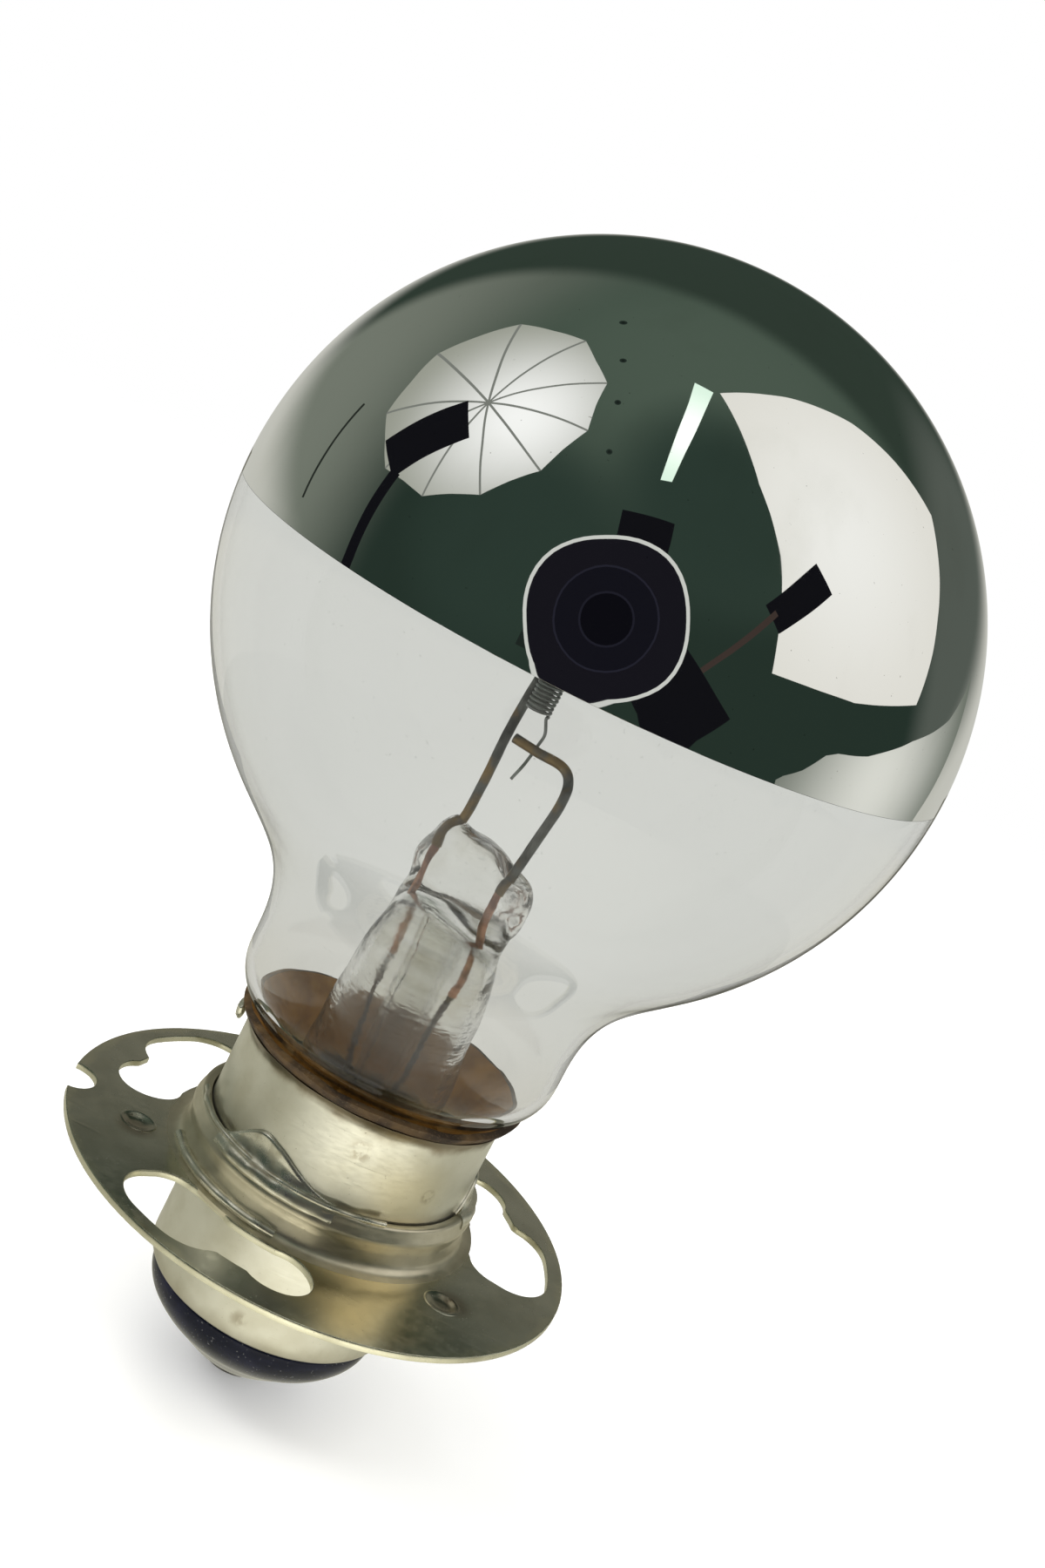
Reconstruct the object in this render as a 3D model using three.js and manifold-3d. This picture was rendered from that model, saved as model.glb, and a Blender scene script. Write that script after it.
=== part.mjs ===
// Crown-mirrored globe lamp with a focused flange cap, for example from an operating or signal light.
// Millimetres. +Z runs from the cap to the crown. The origin is on the lamp's axis, in the plane of
// the flange's underside, which is the face that a lampholder seats and focuses the lamp by.

import * as THREE from 'three';
import { mergeVertices } from 'three/addons/utils/BufferGeometryUtils.js';
import Module from 'manifold-3d';

const wasm = await Module();
wasm.setup();

// ---------------------------------------------------------------- driving dimensions

const GAP = 0.3;                    // clearance between pieces that touch on the real lamp

const GLOBE_R = 30;                 // 60 mm globe
const LIGHT_CENTRE = 53.1;          // height of the globe's centre above the seat
const GLASS_WALL = 0.8;
const NECK_R = 14.1;
const NECK_IN_CAP_R = 9.9;          // neck where the cap's shell hides it
const NECK_END = 4.2;               // lower end of the neck, inside the cap

const MIRROR_WALL = 0.3;

const SHELL_R = 11.6;               // barrel above the flange
const SHELL_LOWER_R = 11.1;         // barrel below the flange, which is of the 22 mm class
const SHELL_WALL = 0.35;
const SHELL_RIM = 12.6;             // upper edge of the barrel
const SHELL_FOOT = -10.5;           // lower edge of the barrel
const RIM_FLARE = 0.45;

const FLANGE_R = 22.85;
const FLANGE_THICK = 0.6;
const COLLAR_TOP = 4.6;
const COLLAR_BORE_R = 12.0;
const SLOT_LOBE = { inner: 14, outer: 21.4 };       // wide part, which drops over a headed stud
const SLOT_WAIST = { inner: 14.3, outer: 19.2 };    // narrow part, which turns under the stud's head
const SLOT_END = { inner: 14.2, outer: 19.9 };      // seat of the stud's neck
const SLOTS = [                     // degrees about +Z: extreme ends, and where the lobe ends
  { start: 349.5, lobe: 386, end: 409 },
  { start: 128, lobe: 163.5, end: 183 },
  { start: 224.5, lobe: 256.5, end: 280.5 },
];
const NOTCH = { angle: 188.5, radius: 2.2 };
const DIMPLES = { angles: [80, 200, 322], pitch: 16.6, radius: 1.6, depth: 0.3 };
const SOLDER_ANGLES = [12, 132, 252];

const CONE_TOP = -11;               // the insulator comes out of the barrel here
const CONTACT_FACE = -18.6;         // flat underside of the centre contact
const CAP_TIP = -18.9;              // solder pip, the lowest point

const STEM_TOP = 27.6;              // the pinch starts here
const PINCH_TOP = 33.6;
const LEAD_R = 0.42;
const SEAL_R = 0.32;
const TAIL_R = 0.3;
const LEFT_LEAD = [-3.4, 1.5];      // where each lead leaves the pinch
const RIGHT_LEAD = [2.65, -2.5];

const COIL_R = 1.0;                 // to the middle of the wire
const COIL_WIRE_R = 0.16;
const COIL_AXIS = [-1.25, 0];
const COIL_FOOT = 45.1;
const COIL_LENGTH = 11;
const COIL_TURNS = 13;

// ---------------------------------------------------------------- helpers

const group = new THREE.Group();
const rad = THREE.MathUtils.degToRad;
const point = (x, y, z) => new THREE.Vector3(x, y, z);

// Joins a geometry's shared vertices, drops empty triangles and turns the faces outwards.
function closed(geometry) {
  geometry.deleteAttribute('normal');
  geometry.deleteAttribute('uv');
  const merged = mergeVertices(geometry, 1e-4);
  const place = merged.attributes.position;
  const corner = [point(), point(), point()];
  const kept = [];
  let volume = 0;
  for (let i = 0; i < merged.index.count; i += 3) {
    const ids = [0, 1, 2].map((k) => merged.index.getX(i + k));
    if (new Set(ids).size < 3) continue;
    kept.push(...ids);
    ids.forEach((id, k) => corner[k].fromBufferAttribute(place, id));
    volume += corner[0].dot(corner[1].cross(corner[2]));
  }
  merged.setIndex(volume < 0 ? kept.reverse() : kept);
  return merged;
}

// Closed surface of revolution about Z from [radius, height] points.
function lathe(profile, segments = 40) {
  const points = profile.map(([r, z]) => new THREE.Vector2(r, z));
  const geometry = new THREE.LatheGeometry(points, segments);
  geometry.rotateX(Math.PI / 2);
  return closed(geometry);
}

// A ring's profile closes on itself.
function ring(profile, segments) {
  return lathe([...profile, profile[0]], segments);
}

// Round wire through 3-D points, with a smooth bend at each of them. A full circle gets two sides
// for each curve segment.
function wire(points, radius, steps, sides = 6) {
  const section = new THREE.Shape().absarc(0, 0, radius, 0, 2 * Math.PI);
  const path = new THREE.CatmullRomCurve3(points.map((p) => point(...p)), false, 'centripetal');
  return closed(new THREE.ExtrudeGeometry(section, {
    curveSegments: sides / 2, steps, extrudePath: path, bevelEnabled: false,
  }));
}

function toSolid(geometry) {
  const mesh = new wasm.Mesh({
    numProp: 3,
    vertProperties: new Float32Array(geometry.attributes.position.array),
    triVerts: new Uint32Array(geometry.index.array),
  });
  return new wasm.Manifold(mesh);
}

function toGeometry(solid) {
  const mesh = solid.getMesh();
  const geometry = new THREE.BufferGeometry();
  geometry.setAttribute('position', new THREE.BufferAttribute(new Float32Array(mesh.vertProperties), 3));
  geometry.setIndex(Array.from(mesh.triVerts));
  return geometry;
}

function cut(geometry, tools) {
  const result = tools.reduce((body, tool) => body.subtract(toSolid(tool)), toSolid(geometry));
  return toGeometry(result);
}

function add(name, geometry, color, roughness, metalness = 0, opacity = 1) {
  const material = new THREE.MeshStandardMaterial({
    color, roughness, metalness, opacity, transparent: opacity < 1,
  });
  const mesh = new THREE.Mesh(geometry, material);
  mesh.name = name;
  group.add(mesh);
}

const polar = (radius, degrees, z) => [
  radius * Math.cos(rad(degrees)), radius * Math.sin(rad(degrees)), z,
];

// Points of an arc about [0, LIGHT_CENTRE], as [radius, height], from one elevation to another.
function globeArc(radius, fromDegrees, toDegrees, count) {
  return Array.from({ length: count + 1 }, (_, i) => {
    const elevation = rad(fromDegrees + (toDegrees - fromDegrees) * i / count);
    return [radius * Math.cos(elevation), LIGHT_CENTRE + radius * Math.sin(elevation)];
  });
}

// ---------------------------------------------------------------- glass envelope

// Globe, waist and neck for one face of the glass, from the crown down. inset is 0 on the outside.
function envelopeProfile(inset, globeSteps) {
  const waistStart = -45;           // degrees from the equator to where the globe turns into the neck
  const globe = globeArc(GLOBE_R - inset, 90, waistStart, globeSteps);
  const [startR, startZ] = globe.at(-1);
  const slope = rad(waistStart);
  const waist = new THREE.CubicBezierCurve(
    new THREE.Vector2(startR, startZ),
    new THREE.Vector2(startR + 5.5 * Math.sin(slope), startZ - 5.5 * Math.cos(slope)),
    new THREE.Vector2(NECK_R - inset, 26),
    new THREE.Vector2(NECK_R - inset, 19.5),
  ).getPoints(5).slice(1);
  const shoulder = new THREE.CubicBezierCurve(
    new THREE.Vector2(NECK_R - inset, 17.8),
    new THREE.Vector2(NECK_R - inset, 14),
    new THREE.Vector2(NECK_IN_CAP_R + 0.3 - inset, 13.8 + inset),
    new THREE.Vector2(NECK_IN_CAP_R - inset, 10.4),
  ).getPoints(5);
  const tail = [[NECK_IN_CAP_R - inset, NECK_END]];
  return [...globe, ...[...waist, ...shoulder].map((p) => [p.x, p.y]), ...tail];
}

function bulbGlass() {
  const outer = envelopeProfile(0, 15);
  const inner = envelopeProfile(GLASS_WALL, 9).reverse();
  outer[0][0] = 0;
  inner[inner.length - 1][0] = 0;
  return lathe([...outer, ...inner], 40);
}

// Silvering over the upper half of the globe, on the inside of the glass.
function mirrorCoating() {
  const outerR = GLOBE_R - GLASS_WALL - 2 * GAP;
  const steps = 8;
  const outer = globeArc(outerR, 90, 0, steps);
  const inner = globeArc(outerR - MIRROR_WALL, 0, 90, steps);
  outer[0][0] = 0;
  inner[steps][0] = 0;
  return lathe([...outer, ...inner], 32);
}

add('bulb_glass', bulbGlass(), 0xdfe3dc, 0.05, 0, 0.35);
add('mirror_coating', mirrorCoating(), 0xc8cac6, 0.06, 1);

// ---------------------------------------------------------------- routes of the leads

const SEAL_TOP = 31.2;
const SEAL_FOOT = 22;
const ARM_Z = 42.45;
const COIL_HEAD = COIL_FOOT + COIL_LENGTH;

// Straight support: kinks above the pinch, runs up behind the coil and hooks over its upper end.
const leftLeadPath = [
  [...LEFT_LEAD, SEAL_TOP + GAP],
  [-3.45, 1.5, 32.8],
  [-2.8, 1.6, 34.2],
  [-2.65, 1.8, 38],
  [-2.65, 1.9, 42.5],
  [-2.35, 1.9, 47],
  [-1.8, 1.9, 53],
  [-1.45, 1.8, COIL_HEAD + 1.6],
  [-1.3, 0.9, COIL_HEAD + 2.6],
];

// Right support: rises, then turns through a right angle into an arm under the coil.
const rightLeadPath = [
  [...RIGHT_LEAD, SEAL_TOP + GAP],
  [2.95, -2.5, 33.4],
  [3.4, -2.4, 37],
  [3.7, -2.3, 39.6],
  [3.5, -2.2, 41.5],
  [2.5, -1.9, ARM_Z],
  [0.2, -1.4, ARM_Z + 0.05],
  [-1.95, -0.8, ARM_Z + 0.15],
];

// ---------------------------------------------------------------- stem

function stemTube() {
  return ring([
    [5.6, STEM_TOP], [5.8, 22], [6.3, 15], [7.0, 9], [8.0, 5.4], [8.7, 4.3], [9.7, NECK_END - GAP],
    [9.7, 3.1], [8.6, 3.3], [7.4, 4.8], [6.2, 8.4], [5.4, 15], [4.9, 22], [4.7, STEM_TOP],
  ], 24);
}

function exhaustTube() {
  return lathe([
    [0, -4.6], [0.7, -4.2], [1.4, -2.6], [1.9, 0], [1.9, STEM_TOP - 1.6],
    [1.2, STEM_TOP - 1.6], [1.2, 0.2], [0.6, -2], [0, -2.4],
  ], 20);
}

// Flat blade of glass that grips both seals, with a bore for each wire and the pumping hole.
function stemPinch() {
  const [width, thickness, round] = [10.8, 4.6, 1.1];
  const spanX = RIGHT_LEAD[0] - LEFT_LEAD[0];
  const spanY = RIGHT_LEAD[1] - LEFT_LEAD[1];
  const half = (width - thickness) / 2;
  const capR = thickness / 2 - round;
  const outline = new THREE.Shape();
  outline.absarc(half, 0, capR, -Math.PI / 2, Math.PI / 2);
  outline.absarc(-half, 0, capR, Math.PI / 2, 1.5 * Math.PI);
  const blade = new THREE.ExtrudeGeometry(outline, {
    depth: PINCH_TOP - STEM_TOP - GAP - 2 * round,
    curveSegments: 8, bevelSegments: 3, bevelSize: round, bevelThickness: round,
  });
  blade.translate(0, 0, STEM_TOP + GAP + round);
  blade.rotateZ(Math.atan2(spanY, spanX));
  blade.translate(0.1, -0.6, 0);

  // The bores are wide enough for the leads to lean towards +X as they leave.
  const lean = 0.25;
  const leadBores = [LEFT_LEAD, RIGHT_LEAD].map(([x, y]) => {
    const leadBore = new THREE.CylinderGeometry(LEAD_R + 2 * GAP, LEAD_R + 2 * GAP, 12, 16);
    leadBore.rotateX(Math.PI / 2);
    leadBore.translate(x + lean, y, (STEM_TOP + PINCH_TOP) / 2);
    return closed(leadBore);
  });
  const pumping = new THREE.CylinderGeometry(1.0, 1.0, 4, 16);
  pumping.rotateX(Math.PI / 2);
  pumping.translate(-0.5, -0.5, STEM_TOP);
  return cut(closed(blade), [...leadBores, closed(pumping)]);
}

add('stem_tube', stemTube(), 0xcfd2c8, 0.08, 0, 0.4);
add('stem_pinch', stemPinch(), 0xc9ccc2, 0.1, 0, 0.4);
add('exhaust_tube', exhaustTube(), 0xcfd2c8, 0.08, 0, 0.4);

// ---------------------------------------------------------------- leads and filament

function filamentCoil() {
  const steps = COIL_TURNS * 7;
  const points = Array.from({ length: steps + 1 }, (_, i) => {
    const turn = 2 * Math.PI * COIL_TURNS * i / steps;
    return [
      COIL_AXIS[0] + COIL_R * Math.cos(turn),
      COIL_AXIS[1] + COIL_R * Math.sin(turn),
      COIL_FOOT + COIL_LENGTH * i / steps,
    ];
  });
  return wire(points, COIL_WIRE_R, steps, 6);
}

add('lead_support_left', wire(leftLeadPath, LEAD_R, 22, 8), 0x4a4b44, 0.45, 0.9);
add('lead_support_right', wire(rightLeadPath, LEAD_R, 22, 8), 0x4e4a3c, 0.45, 0.9);
add('filament_coil', filamentCoil(), 0x5c5d58, 0.4, 0.9);

const coilStart = [COIL_AXIS[0] + COIL_R, COIL_AXIS[1]];
add('filament_lower_leg', wire([
  [coilStart[0], coilStart[1], COIL_FOOT - 2 * COIL_WIRE_R - GAP],
  [0.1, -0.1, 43.8],
  [0.0, -0.3, 42.8],
  [-0.3, -0.5, 41.0],
  [-0.75, -0.6, 39.4],
], 0.15, 14, 6), 0x6a6f66, 0.4, 0.9);
add('filament_upper_leg', wire([
  [coilStart[0], coilStart[1], COIL_HEAD + 2 * COIL_WIRE_R + GAP],
  [-0.5, 0.0, COIL_HEAD + 1.3],
  [-1.0, 0.0, COIL_HEAD + 2.2],
  [-1.3, 0.0, COIL_HEAD + 3.4],
], 0.15, 10, 6), 0x6a6f66, 0.4, 0.9);

// Copper-clad seals through the pinch, then softer tails down inside the stem.
add('seal_wire_left', wire([
  [...LEFT_LEAD, SEAL_TOP], [-3.5, 1.5, 26], [-3.3, 1.5, SEAL_FOOT],
], SEAL_R, 8), 0xb07a5e, 0.4, 0.8);
add('seal_wire_right', wire([
  [...RIGHT_LEAD, SEAL_TOP], [2.8, -2.5, 26], [3.2, -2.3, SEAL_FOOT],
], SEAL_R, 8), 0xb07a5e, 0.4, 0.8);

// The side wire turns round the neck's lower end and climbs through the cement to the barrel's rim.
const SIDE_JOINT_ANGLE = 186;
const sideWirePath = [
  [3.2, -2.3, SEAL_FOOT - GAP], [3.4, -2.3, 16], [3.3, -2.8, 6], [1.0, -4.6, 1.2],
  polar(6, 210, -0.6), polar(9.6, SIDE_JOINT_ANGLE, 0.4), polar(10.57, SIDE_JOINT_ANGLE, 2.8),
  polar(10.57, SIDE_JOINT_ANGLE, 10.6), polar(11.05, SIDE_JOINT_ANGLE, 12.3),
];

add('tail_wire_left', wire([
  [-3.3, 1.5, SEAL_FOOT - GAP], [-2.9, 1.5, 14], [-3.1, 1.4, 6], [-3.4, 1.1, -1],
  [-2.3, 0.7, -5.2], [-0.5, 0.1, -6.9], [0, 0, -8.8], [0, 0, -12.5], [0, 0, -17.2],
], TAIL_R, 24), 0x7d5a45, 0.5, 0.8);
add('tail_wire_right', wire(sideWirePath, TAIL_R, 30), 0x7d5a45, 0.5, 0.8);

// Bead that joins the side wire to the outside of the rim.
function rimSolder() {
  const reach = SHELL_R + RIM_FLARE + 0.1;
  const bead = new THREE.SphereGeometry(1, 14, 10);
  bead.scale(0.6, 1.2, 0.9);
  bead.rotateZ(rad(SIDE_JOINT_ANGLE));
  bead.translate(...polar(reach, SIDE_JOINT_ANGLE, SHELL_RIM - 0.75));
  const rim = new THREE.CylinderGeometry(reach, reach, 10, 64);
  rim.rotateX(Math.PI / 2);
  rim.translate(0, 0, SHELL_RIM);
  return cut(closed(bead), [closed(rim)]);
}
add('rim_solder', rimSolder(), 0xa9aaa6, 0.35, 0.9);

// ---------------------------------------------------------------- cap

const bore = SHELL_R - SHELL_WALL;
const lowerBore = SHELL_LOWER_R - SHELL_WALL;

// Thin barrel with a slightly flared rim, a small step inside the collar and a lower edge that is
// rolled in over the insulator.
function capShell() {
  return ring([
    [SHELL_R, SHELL_RIM - 1.2], [SHELL_R + RIM_FLARE, SHELL_RIM], [bore + RIM_FLARE, SHELL_RIM],
    [bore, SHELL_RIM - 1.2], [bore, 2.4], [lowerBore, 1.4],
    [lowerBore, SHELL_FOOT + 1.2], [lowerBore - 0.45, SHELL_FOOT + 0.45],
    [lowerBore - 0.6, SHELL_FOOT], [SHELL_LOWER_R - 0.5, SHELL_FOOT],
    [SHELL_LOWER_R - 0.12, SHELL_FOOT + 0.35], [SHELL_LOWER_R, SHELL_FOOT + 0.9],
    [SHELL_LOWER_R, 1.4], [SHELL_R, 2.4],
  ], 36);
}

// Ring of cement between neck and barrel, with a fillet that stands above the rim and a channel for
// the side wire.
function basingCement() {
  const body = ring([
    [NECK_IN_CAP_R + GAP, 5.4], [bore - GAP, 5.4], [bore - GAP, 11.2], [11.38, 12.6],
    [11.45, SHELL_RIM + GAP], [SHELL_R + 0.45, SHELL_RIM + GAP], [SHELL_R + 1.15, 13.6],
    [SHELL_R + 1.0, 14.05], [11.9, 13.4], [11.3, 12.75], [10.8, 12.0], [NECK_IN_CAP_R + GAP, 10.6],
  ], 36);
  return cut(body, [wire(sideWirePath, TAIL_R + GAP, 30)]);
}

// Flange plate and collar in one pressing.
function flangeBlank() {
  return ring([
    [COLLAR_BORE_R, 0], [FLANGE_R, 0], [FLANGE_R, FLANGE_THICK],
    [13.7, FLANGE_THICK], [13.2, 0.8], [12.85, 1.5], [12.7, 2.6],
    [12.85, 3.2], [12.7, 3.9], [12.35, COLLAR_TOP], [COLLAR_BORE_R, COLLAR_TOP],
  ], 48);
}

// Curved slot with round ends whose extreme points are at the angles from and to.
function curvedSlot({ inner, outer }, from, to) {
  const middle = (inner + outer) / 2;
  const end = (outer - inner) / 2;
  const reach = Math.asin(end / middle);
  const first = rad(from) + reach;
  const last = Math.max(first + 0.01, rad(to) - reach);
  const shape = new THREE.Shape();
  shape.absarc(0, 0, outer, first, last);
  shape.absarc(middle * Math.cos(last), middle * Math.sin(last), end, last, last + Math.PI);
  shape.absarc(0, 0, inner, last, first, true);
  shape.absarc(middle * Math.cos(first), middle * Math.sin(first), end, first + Math.PI, first + 2 * Math.PI);
  const depth = 3;
  const geometry = new THREE.ExtrudeGeometry(shape, { depth, curveSegments: 5, bevelEnabled: false });
  geometry.translate(0, 0, (FLANGE_THICK - depth) / 2);
  return closed(geometry);
}

function flange() {
  const endSpan = 19.5;             // degrees taken by the seat at the narrow end
  const tools = SLOTS.flatMap(({ start, lobe, end }) => [
    curvedSlot(SLOT_LOBE, start, lobe),
    curvedSlot(SLOT_WAIST, start, end - 2),
    curvedSlot(SLOT_END, end - endSpan, end),
  ]);
  const notch = new THREE.CylinderGeometry(NOTCH.radius, NOTCH.radius, 3, 20);
  notch.rotateX(Math.PI / 2);
  notch.translate(...polar(FLANGE_R, NOTCH.angle, 0));
  tools.push(closed(notch));
  const ball = (DIMPLES.radius ** 2 + DIMPLES.depth ** 2) / (2 * DIMPLES.depth);
  for (const angle of DIMPLES.angles) {
    const dimple = new THREE.SphereGeometry(ball, 24, 24);
    dimple.rotateX(Math.PI / 2);
    dimple.translate(...polar(DIMPLES.pitch, angle, FLANGE_THICK + ball - DIMPLES.depth));
    tools.push(closed(dimple));
  }
  return cut(flangeBlank(), tools);
}

// Run of solder between the collar's upper edge and the barrel.
function collarSolder(angle) {
  const drop = new THREE.SphereGeometry(1, 16, 12);
  drop.scale(1.1, 4.3, 2.3);
  drop.rotateZ(rad(angle));
  drop.translate(...polar(SHELL_R + 0.3, angle, COLLAR_TOP + GAP));
  const barrel = new THREE.CylinderGeometry(SHELL_R + 0.1, SHELL_R + 0.1, 30, 64);
  barrel.rotateX(Math.PI / 2);
  const below = new THREE.BoxGeometry(60, 60, 10);
  below.translate(0, 0, COLLAR_TOP + 0.1 - 5);
  return cut(closed(drop), [closed(barrel), closed(below)]);
}

// Glass cone that fills the barrel's lower end, with a bore for the centre contact's wire.
function insulator() {
  const boreR = 0.9;
  return ring([
    [boreR, -8.2], [9.9, -8.2], [10.3, -8.8], [9.8, -9.9], [9.8, SHELL_FOOT - 0.1],
    [10.35, CONE_TOP], [10.2, -11.9], [9.7, -12.9], [8.7, -13.9], [5.9, -15.9],
    [3.7, -17.35], [boreR, -17.35],
  ], 36);
}

function centreContact() {
  const top = -17.35 - GAP;
  return ring([
    [1.15, top], [3.1, top], [3.0, -18.1], [2.6, -18.45], [2.2, CONTACT_FACE], [1.15, CONTACT_FACE],
  ], 24);
}

function contactSolder() {
  return lathe([
    [0, -17.5], [0.75, -17.5], [0.8, -18.5], [0.55, -18.8], [0, CAP_TIP],
  ], 20);
}

add('cap_shell', capShell(), 0xa5a391, 0.38, 0.9);
add('basing_cement', basingCement(), 0x3c2c1c, 0.85);
add('focus_flange', flange(), 0x6b6c5c, 0.42, 0.9);
SOLDER_ANGLES.forEach((angle, i) => {
  add(`collar_solder_${i + 1}`, collarSolder(angle), 0x9b9b88, 0.35, 0.9);
});
add('insulator_cone', insulator(), 0x15171f, 0.15);
add('centre_contact', centreContact(), 0xb9a878, 0.35, 0.9);
add('contact_solder', contactSolder(), 0xa9aaa6, 0.35, 0.9);

export default group;
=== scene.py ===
"""Looks of a crown-mirrored globe lamp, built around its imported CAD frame.

The scene is in metres in the frame's axes: +Z runs from the cap to the crown, and the origin is on
the lamp's axis in the plane of the flange's underside. Profiles and routes are written in
millimetres, and the mesh helpers scale them.
"""

import math

import bmesh
import bpy
from mathutils import Matrix, Vector, noise
from mathutils.geometry import tessellate_polygon


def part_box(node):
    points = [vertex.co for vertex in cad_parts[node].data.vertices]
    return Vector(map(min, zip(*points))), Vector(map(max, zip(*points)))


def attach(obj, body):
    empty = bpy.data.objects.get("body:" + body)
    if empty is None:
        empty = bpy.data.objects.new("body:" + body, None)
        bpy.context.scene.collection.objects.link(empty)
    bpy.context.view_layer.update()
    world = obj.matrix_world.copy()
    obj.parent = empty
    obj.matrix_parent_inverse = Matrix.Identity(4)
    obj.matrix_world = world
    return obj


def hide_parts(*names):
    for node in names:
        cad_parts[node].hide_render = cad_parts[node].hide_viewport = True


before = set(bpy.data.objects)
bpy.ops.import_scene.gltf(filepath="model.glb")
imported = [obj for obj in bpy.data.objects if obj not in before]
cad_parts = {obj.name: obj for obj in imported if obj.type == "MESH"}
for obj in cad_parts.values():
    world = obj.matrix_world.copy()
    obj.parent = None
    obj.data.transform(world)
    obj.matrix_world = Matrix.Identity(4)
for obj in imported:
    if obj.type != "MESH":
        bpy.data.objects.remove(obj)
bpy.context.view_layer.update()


# ---------------------------------------------------------------- driving sizes, in millimetres

MM = 0.001


def low(node, axis):
    """A CAD node's lowest coordinate on an axis."""
    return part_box(node)[0][axis] / MM


def high(node, axis):
    """A CAD node's highest coordinate on an axis."""
    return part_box(node)[1][axis] / MM


GLOBE_R = high("bulb_glass", 0)
CENTRE = low("mirror_coating", 2)            # the mirror's edge is on the globe's equator
GLASS_WALL = 0.8
MIRROR_WALL = 1.1                            # glass and silvering together
NECK_R = 14.1
NECK_TOP = 24.0
NECK_FOOT = 16.0
NECK_IN_CAP_R = 9.9
NECK_END = low("bulb_glass", 2)

SHELL_R = 11.6
SHELL_LOWER_R = 11.1
SHELL_WALL = 0.35
SHELL_RIM = high("cap_shell", 2)
SHELL_RIM_R = high("cap_shell", 0)
SHELL_FOOT = low("cap_shell", 2)
CURL_TOP = -9.2                              # the barrel's rolled foot starts here

FLANGE_R = high("focus_flange", 0)
FLANGE_THICK = 0.6
FLANGE_EDGE = 0.09                           # rounding of the stamped edges
COLLAR_TOP = high("focus_flange", 2)
NOTCH_ANGLE = 188.5
NOTCH_R = 2.2
DIMPLE_PITCH = 16.6
DIMPLE_R = 1.6
DIMPLE_DEPTH = 0.28
DIMPLE_ANGLES = (80, 200, 322)
LOBE = (14.0, 21.4)                          # inner and outer radius of each stretch of a slot
WAIST = (14.3, 19.2)
SEAT = (14.2, 19.9)
SLOTS = ((349.5, 386, 409), (128, 163.5, 183), (224.5, 256.5, 280.5))
SOLDER_ANGLES = (12, 132, 252)

CAP_TIP = low("contact_solder", 2)
CONTACT_FACE = low("centre_contact", 2)
CONE_FOOT = low("insulator_cone", 2)

STEM_TOP = high("stem_tube", 2)
PINCH_TOP = high("stem_pinch", 2)
COIL_FOOT = low("filament_coil", 2)
COIL_TOP = high("filament_coil", 2)
COIL_AXIS = (-1.25, 0.0)
COIL_R = 1.0
COIL_TURNS = 30
COIL_WIRE_R = 0.13
SUPPORT_R = 0.42
SEAL_R = 0.32
TAIL_R = 0.27

THIN_GLASS_IOR = 1.35                        # low, so that the thin walls don't mirror each other
STEM_GLASS_IOR = 1.42


# ---------------------------------------------------------------- points and outlines

def clamp(value, least=0.0, most=1.0):
    return max(least, min(most, value))


def smooth_step(start, end, value):
    """0 before start, 1 after end and a smooth change between them."""
    t = clamp((value - start) / (end - start))
    return t * t * (3 - 2 * t)


def polar(radius, degrees, height=None):
    """A point at this radius and angle, with a height if one is given."""
    angle = math.radians(degrees)
    flat = (radius * math.cos(angle), radius * math.sin(angle))
    return flat if height is None else (*flat, height)


def arc(centre, radius, start, end, steps):
    """Points on a circle round (r, z) from one angle to another, in degrees."""
    made = []
    for i in range(steps + 1):
        x, y = polar(radius, start + (end - start) * i / steps)
        made.append((centre[0] + x, centre[1] + y))
    return made


def bezier(a, b, c, d, steps):
    """Points on a cubic curve, in as many dimensions as its four points have."""
    made = []
    for i in range(steps + 1):
        t = i / steps
        shares = ((1 - t) ** 3, 3 * t * (1 - t) ** 2, 3 * t * t * (1 - t), t ** 3)
        made.append(tuple(sum(s * v for s, v in zip(shares, axis)) for axis in zip(a, b, c, d)))
    return made


def through(points, steps):
    """A smooth line through points, in as many dimensions as they have."""
    ends = [Vector(points[0]) * 2 - Vector(points[1]), Vector(points[-1]) * 2 - Vector(points[-2])]
    knots = [ends[0], *map(Vector, points), ends[1]]
    made = []
    for i in range(1, len(knots) - 2):
        out = (knots[i + 1] - knots[i - 1]) / 6
        back = (knots[i + 2] - knots[i]) / 6
        span = bezier(knots[i], knots[i] + out, knots[i + 1] - back, knots[i + 1], steps)
        made += span if not made else span[1:]
    return made


def inset(points, depth):
    """An open outline moved sideways, to the left of its direction."""
    made = []
    for i, point in enumerate(points):
        before = Vector(points[max(i - 1, 0)])
        after = Vector(points[min(i + 1, len(points) - 1)])
        along = (after - before).normalized()
        made.append((point[0] - along.y * depth, point[1] + along.x * depth))
    return made


def inset_loop(points, depth):
    """A closed outline moved sideways, to the left of its direction."""
    return inset([points[-1], *points, points[0]], depth)[1:-1]


def rough(point, size, seed=0.0):
    """Smooth noise from -1 to 1 at a point in millimetres, with bumps of about this size."""
    return noise.noise(Vector(point) / size + Vector((seed * 7.3, seed * 3.1, seed * 1.7)))


# ---------------------------------------------------------------- mesh helpers

def make_object(name, points, faces):
    """A mesh object from points in millimetres, with its faces pointing out."""
    mesh = bpy.data.meshes.new(name)
    mesh.from_pydata([Vector(p) * MM for p in points], [], faces)
    work = bmesh.new()
    work.from_mesh(mesh)
    bmesh.ops.recalc_face_normals(work, faces=work.faces)
    work.to_mesh(mesh)
    work.free()
    mesh.shade_smooth()
    mesh.set_sharp_from_angle(angle=math.radians(40))
    made = bpy.data.objects.new(name, mesh)
    bpy.context.scene.collection.objects.link(made)
    return made


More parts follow.
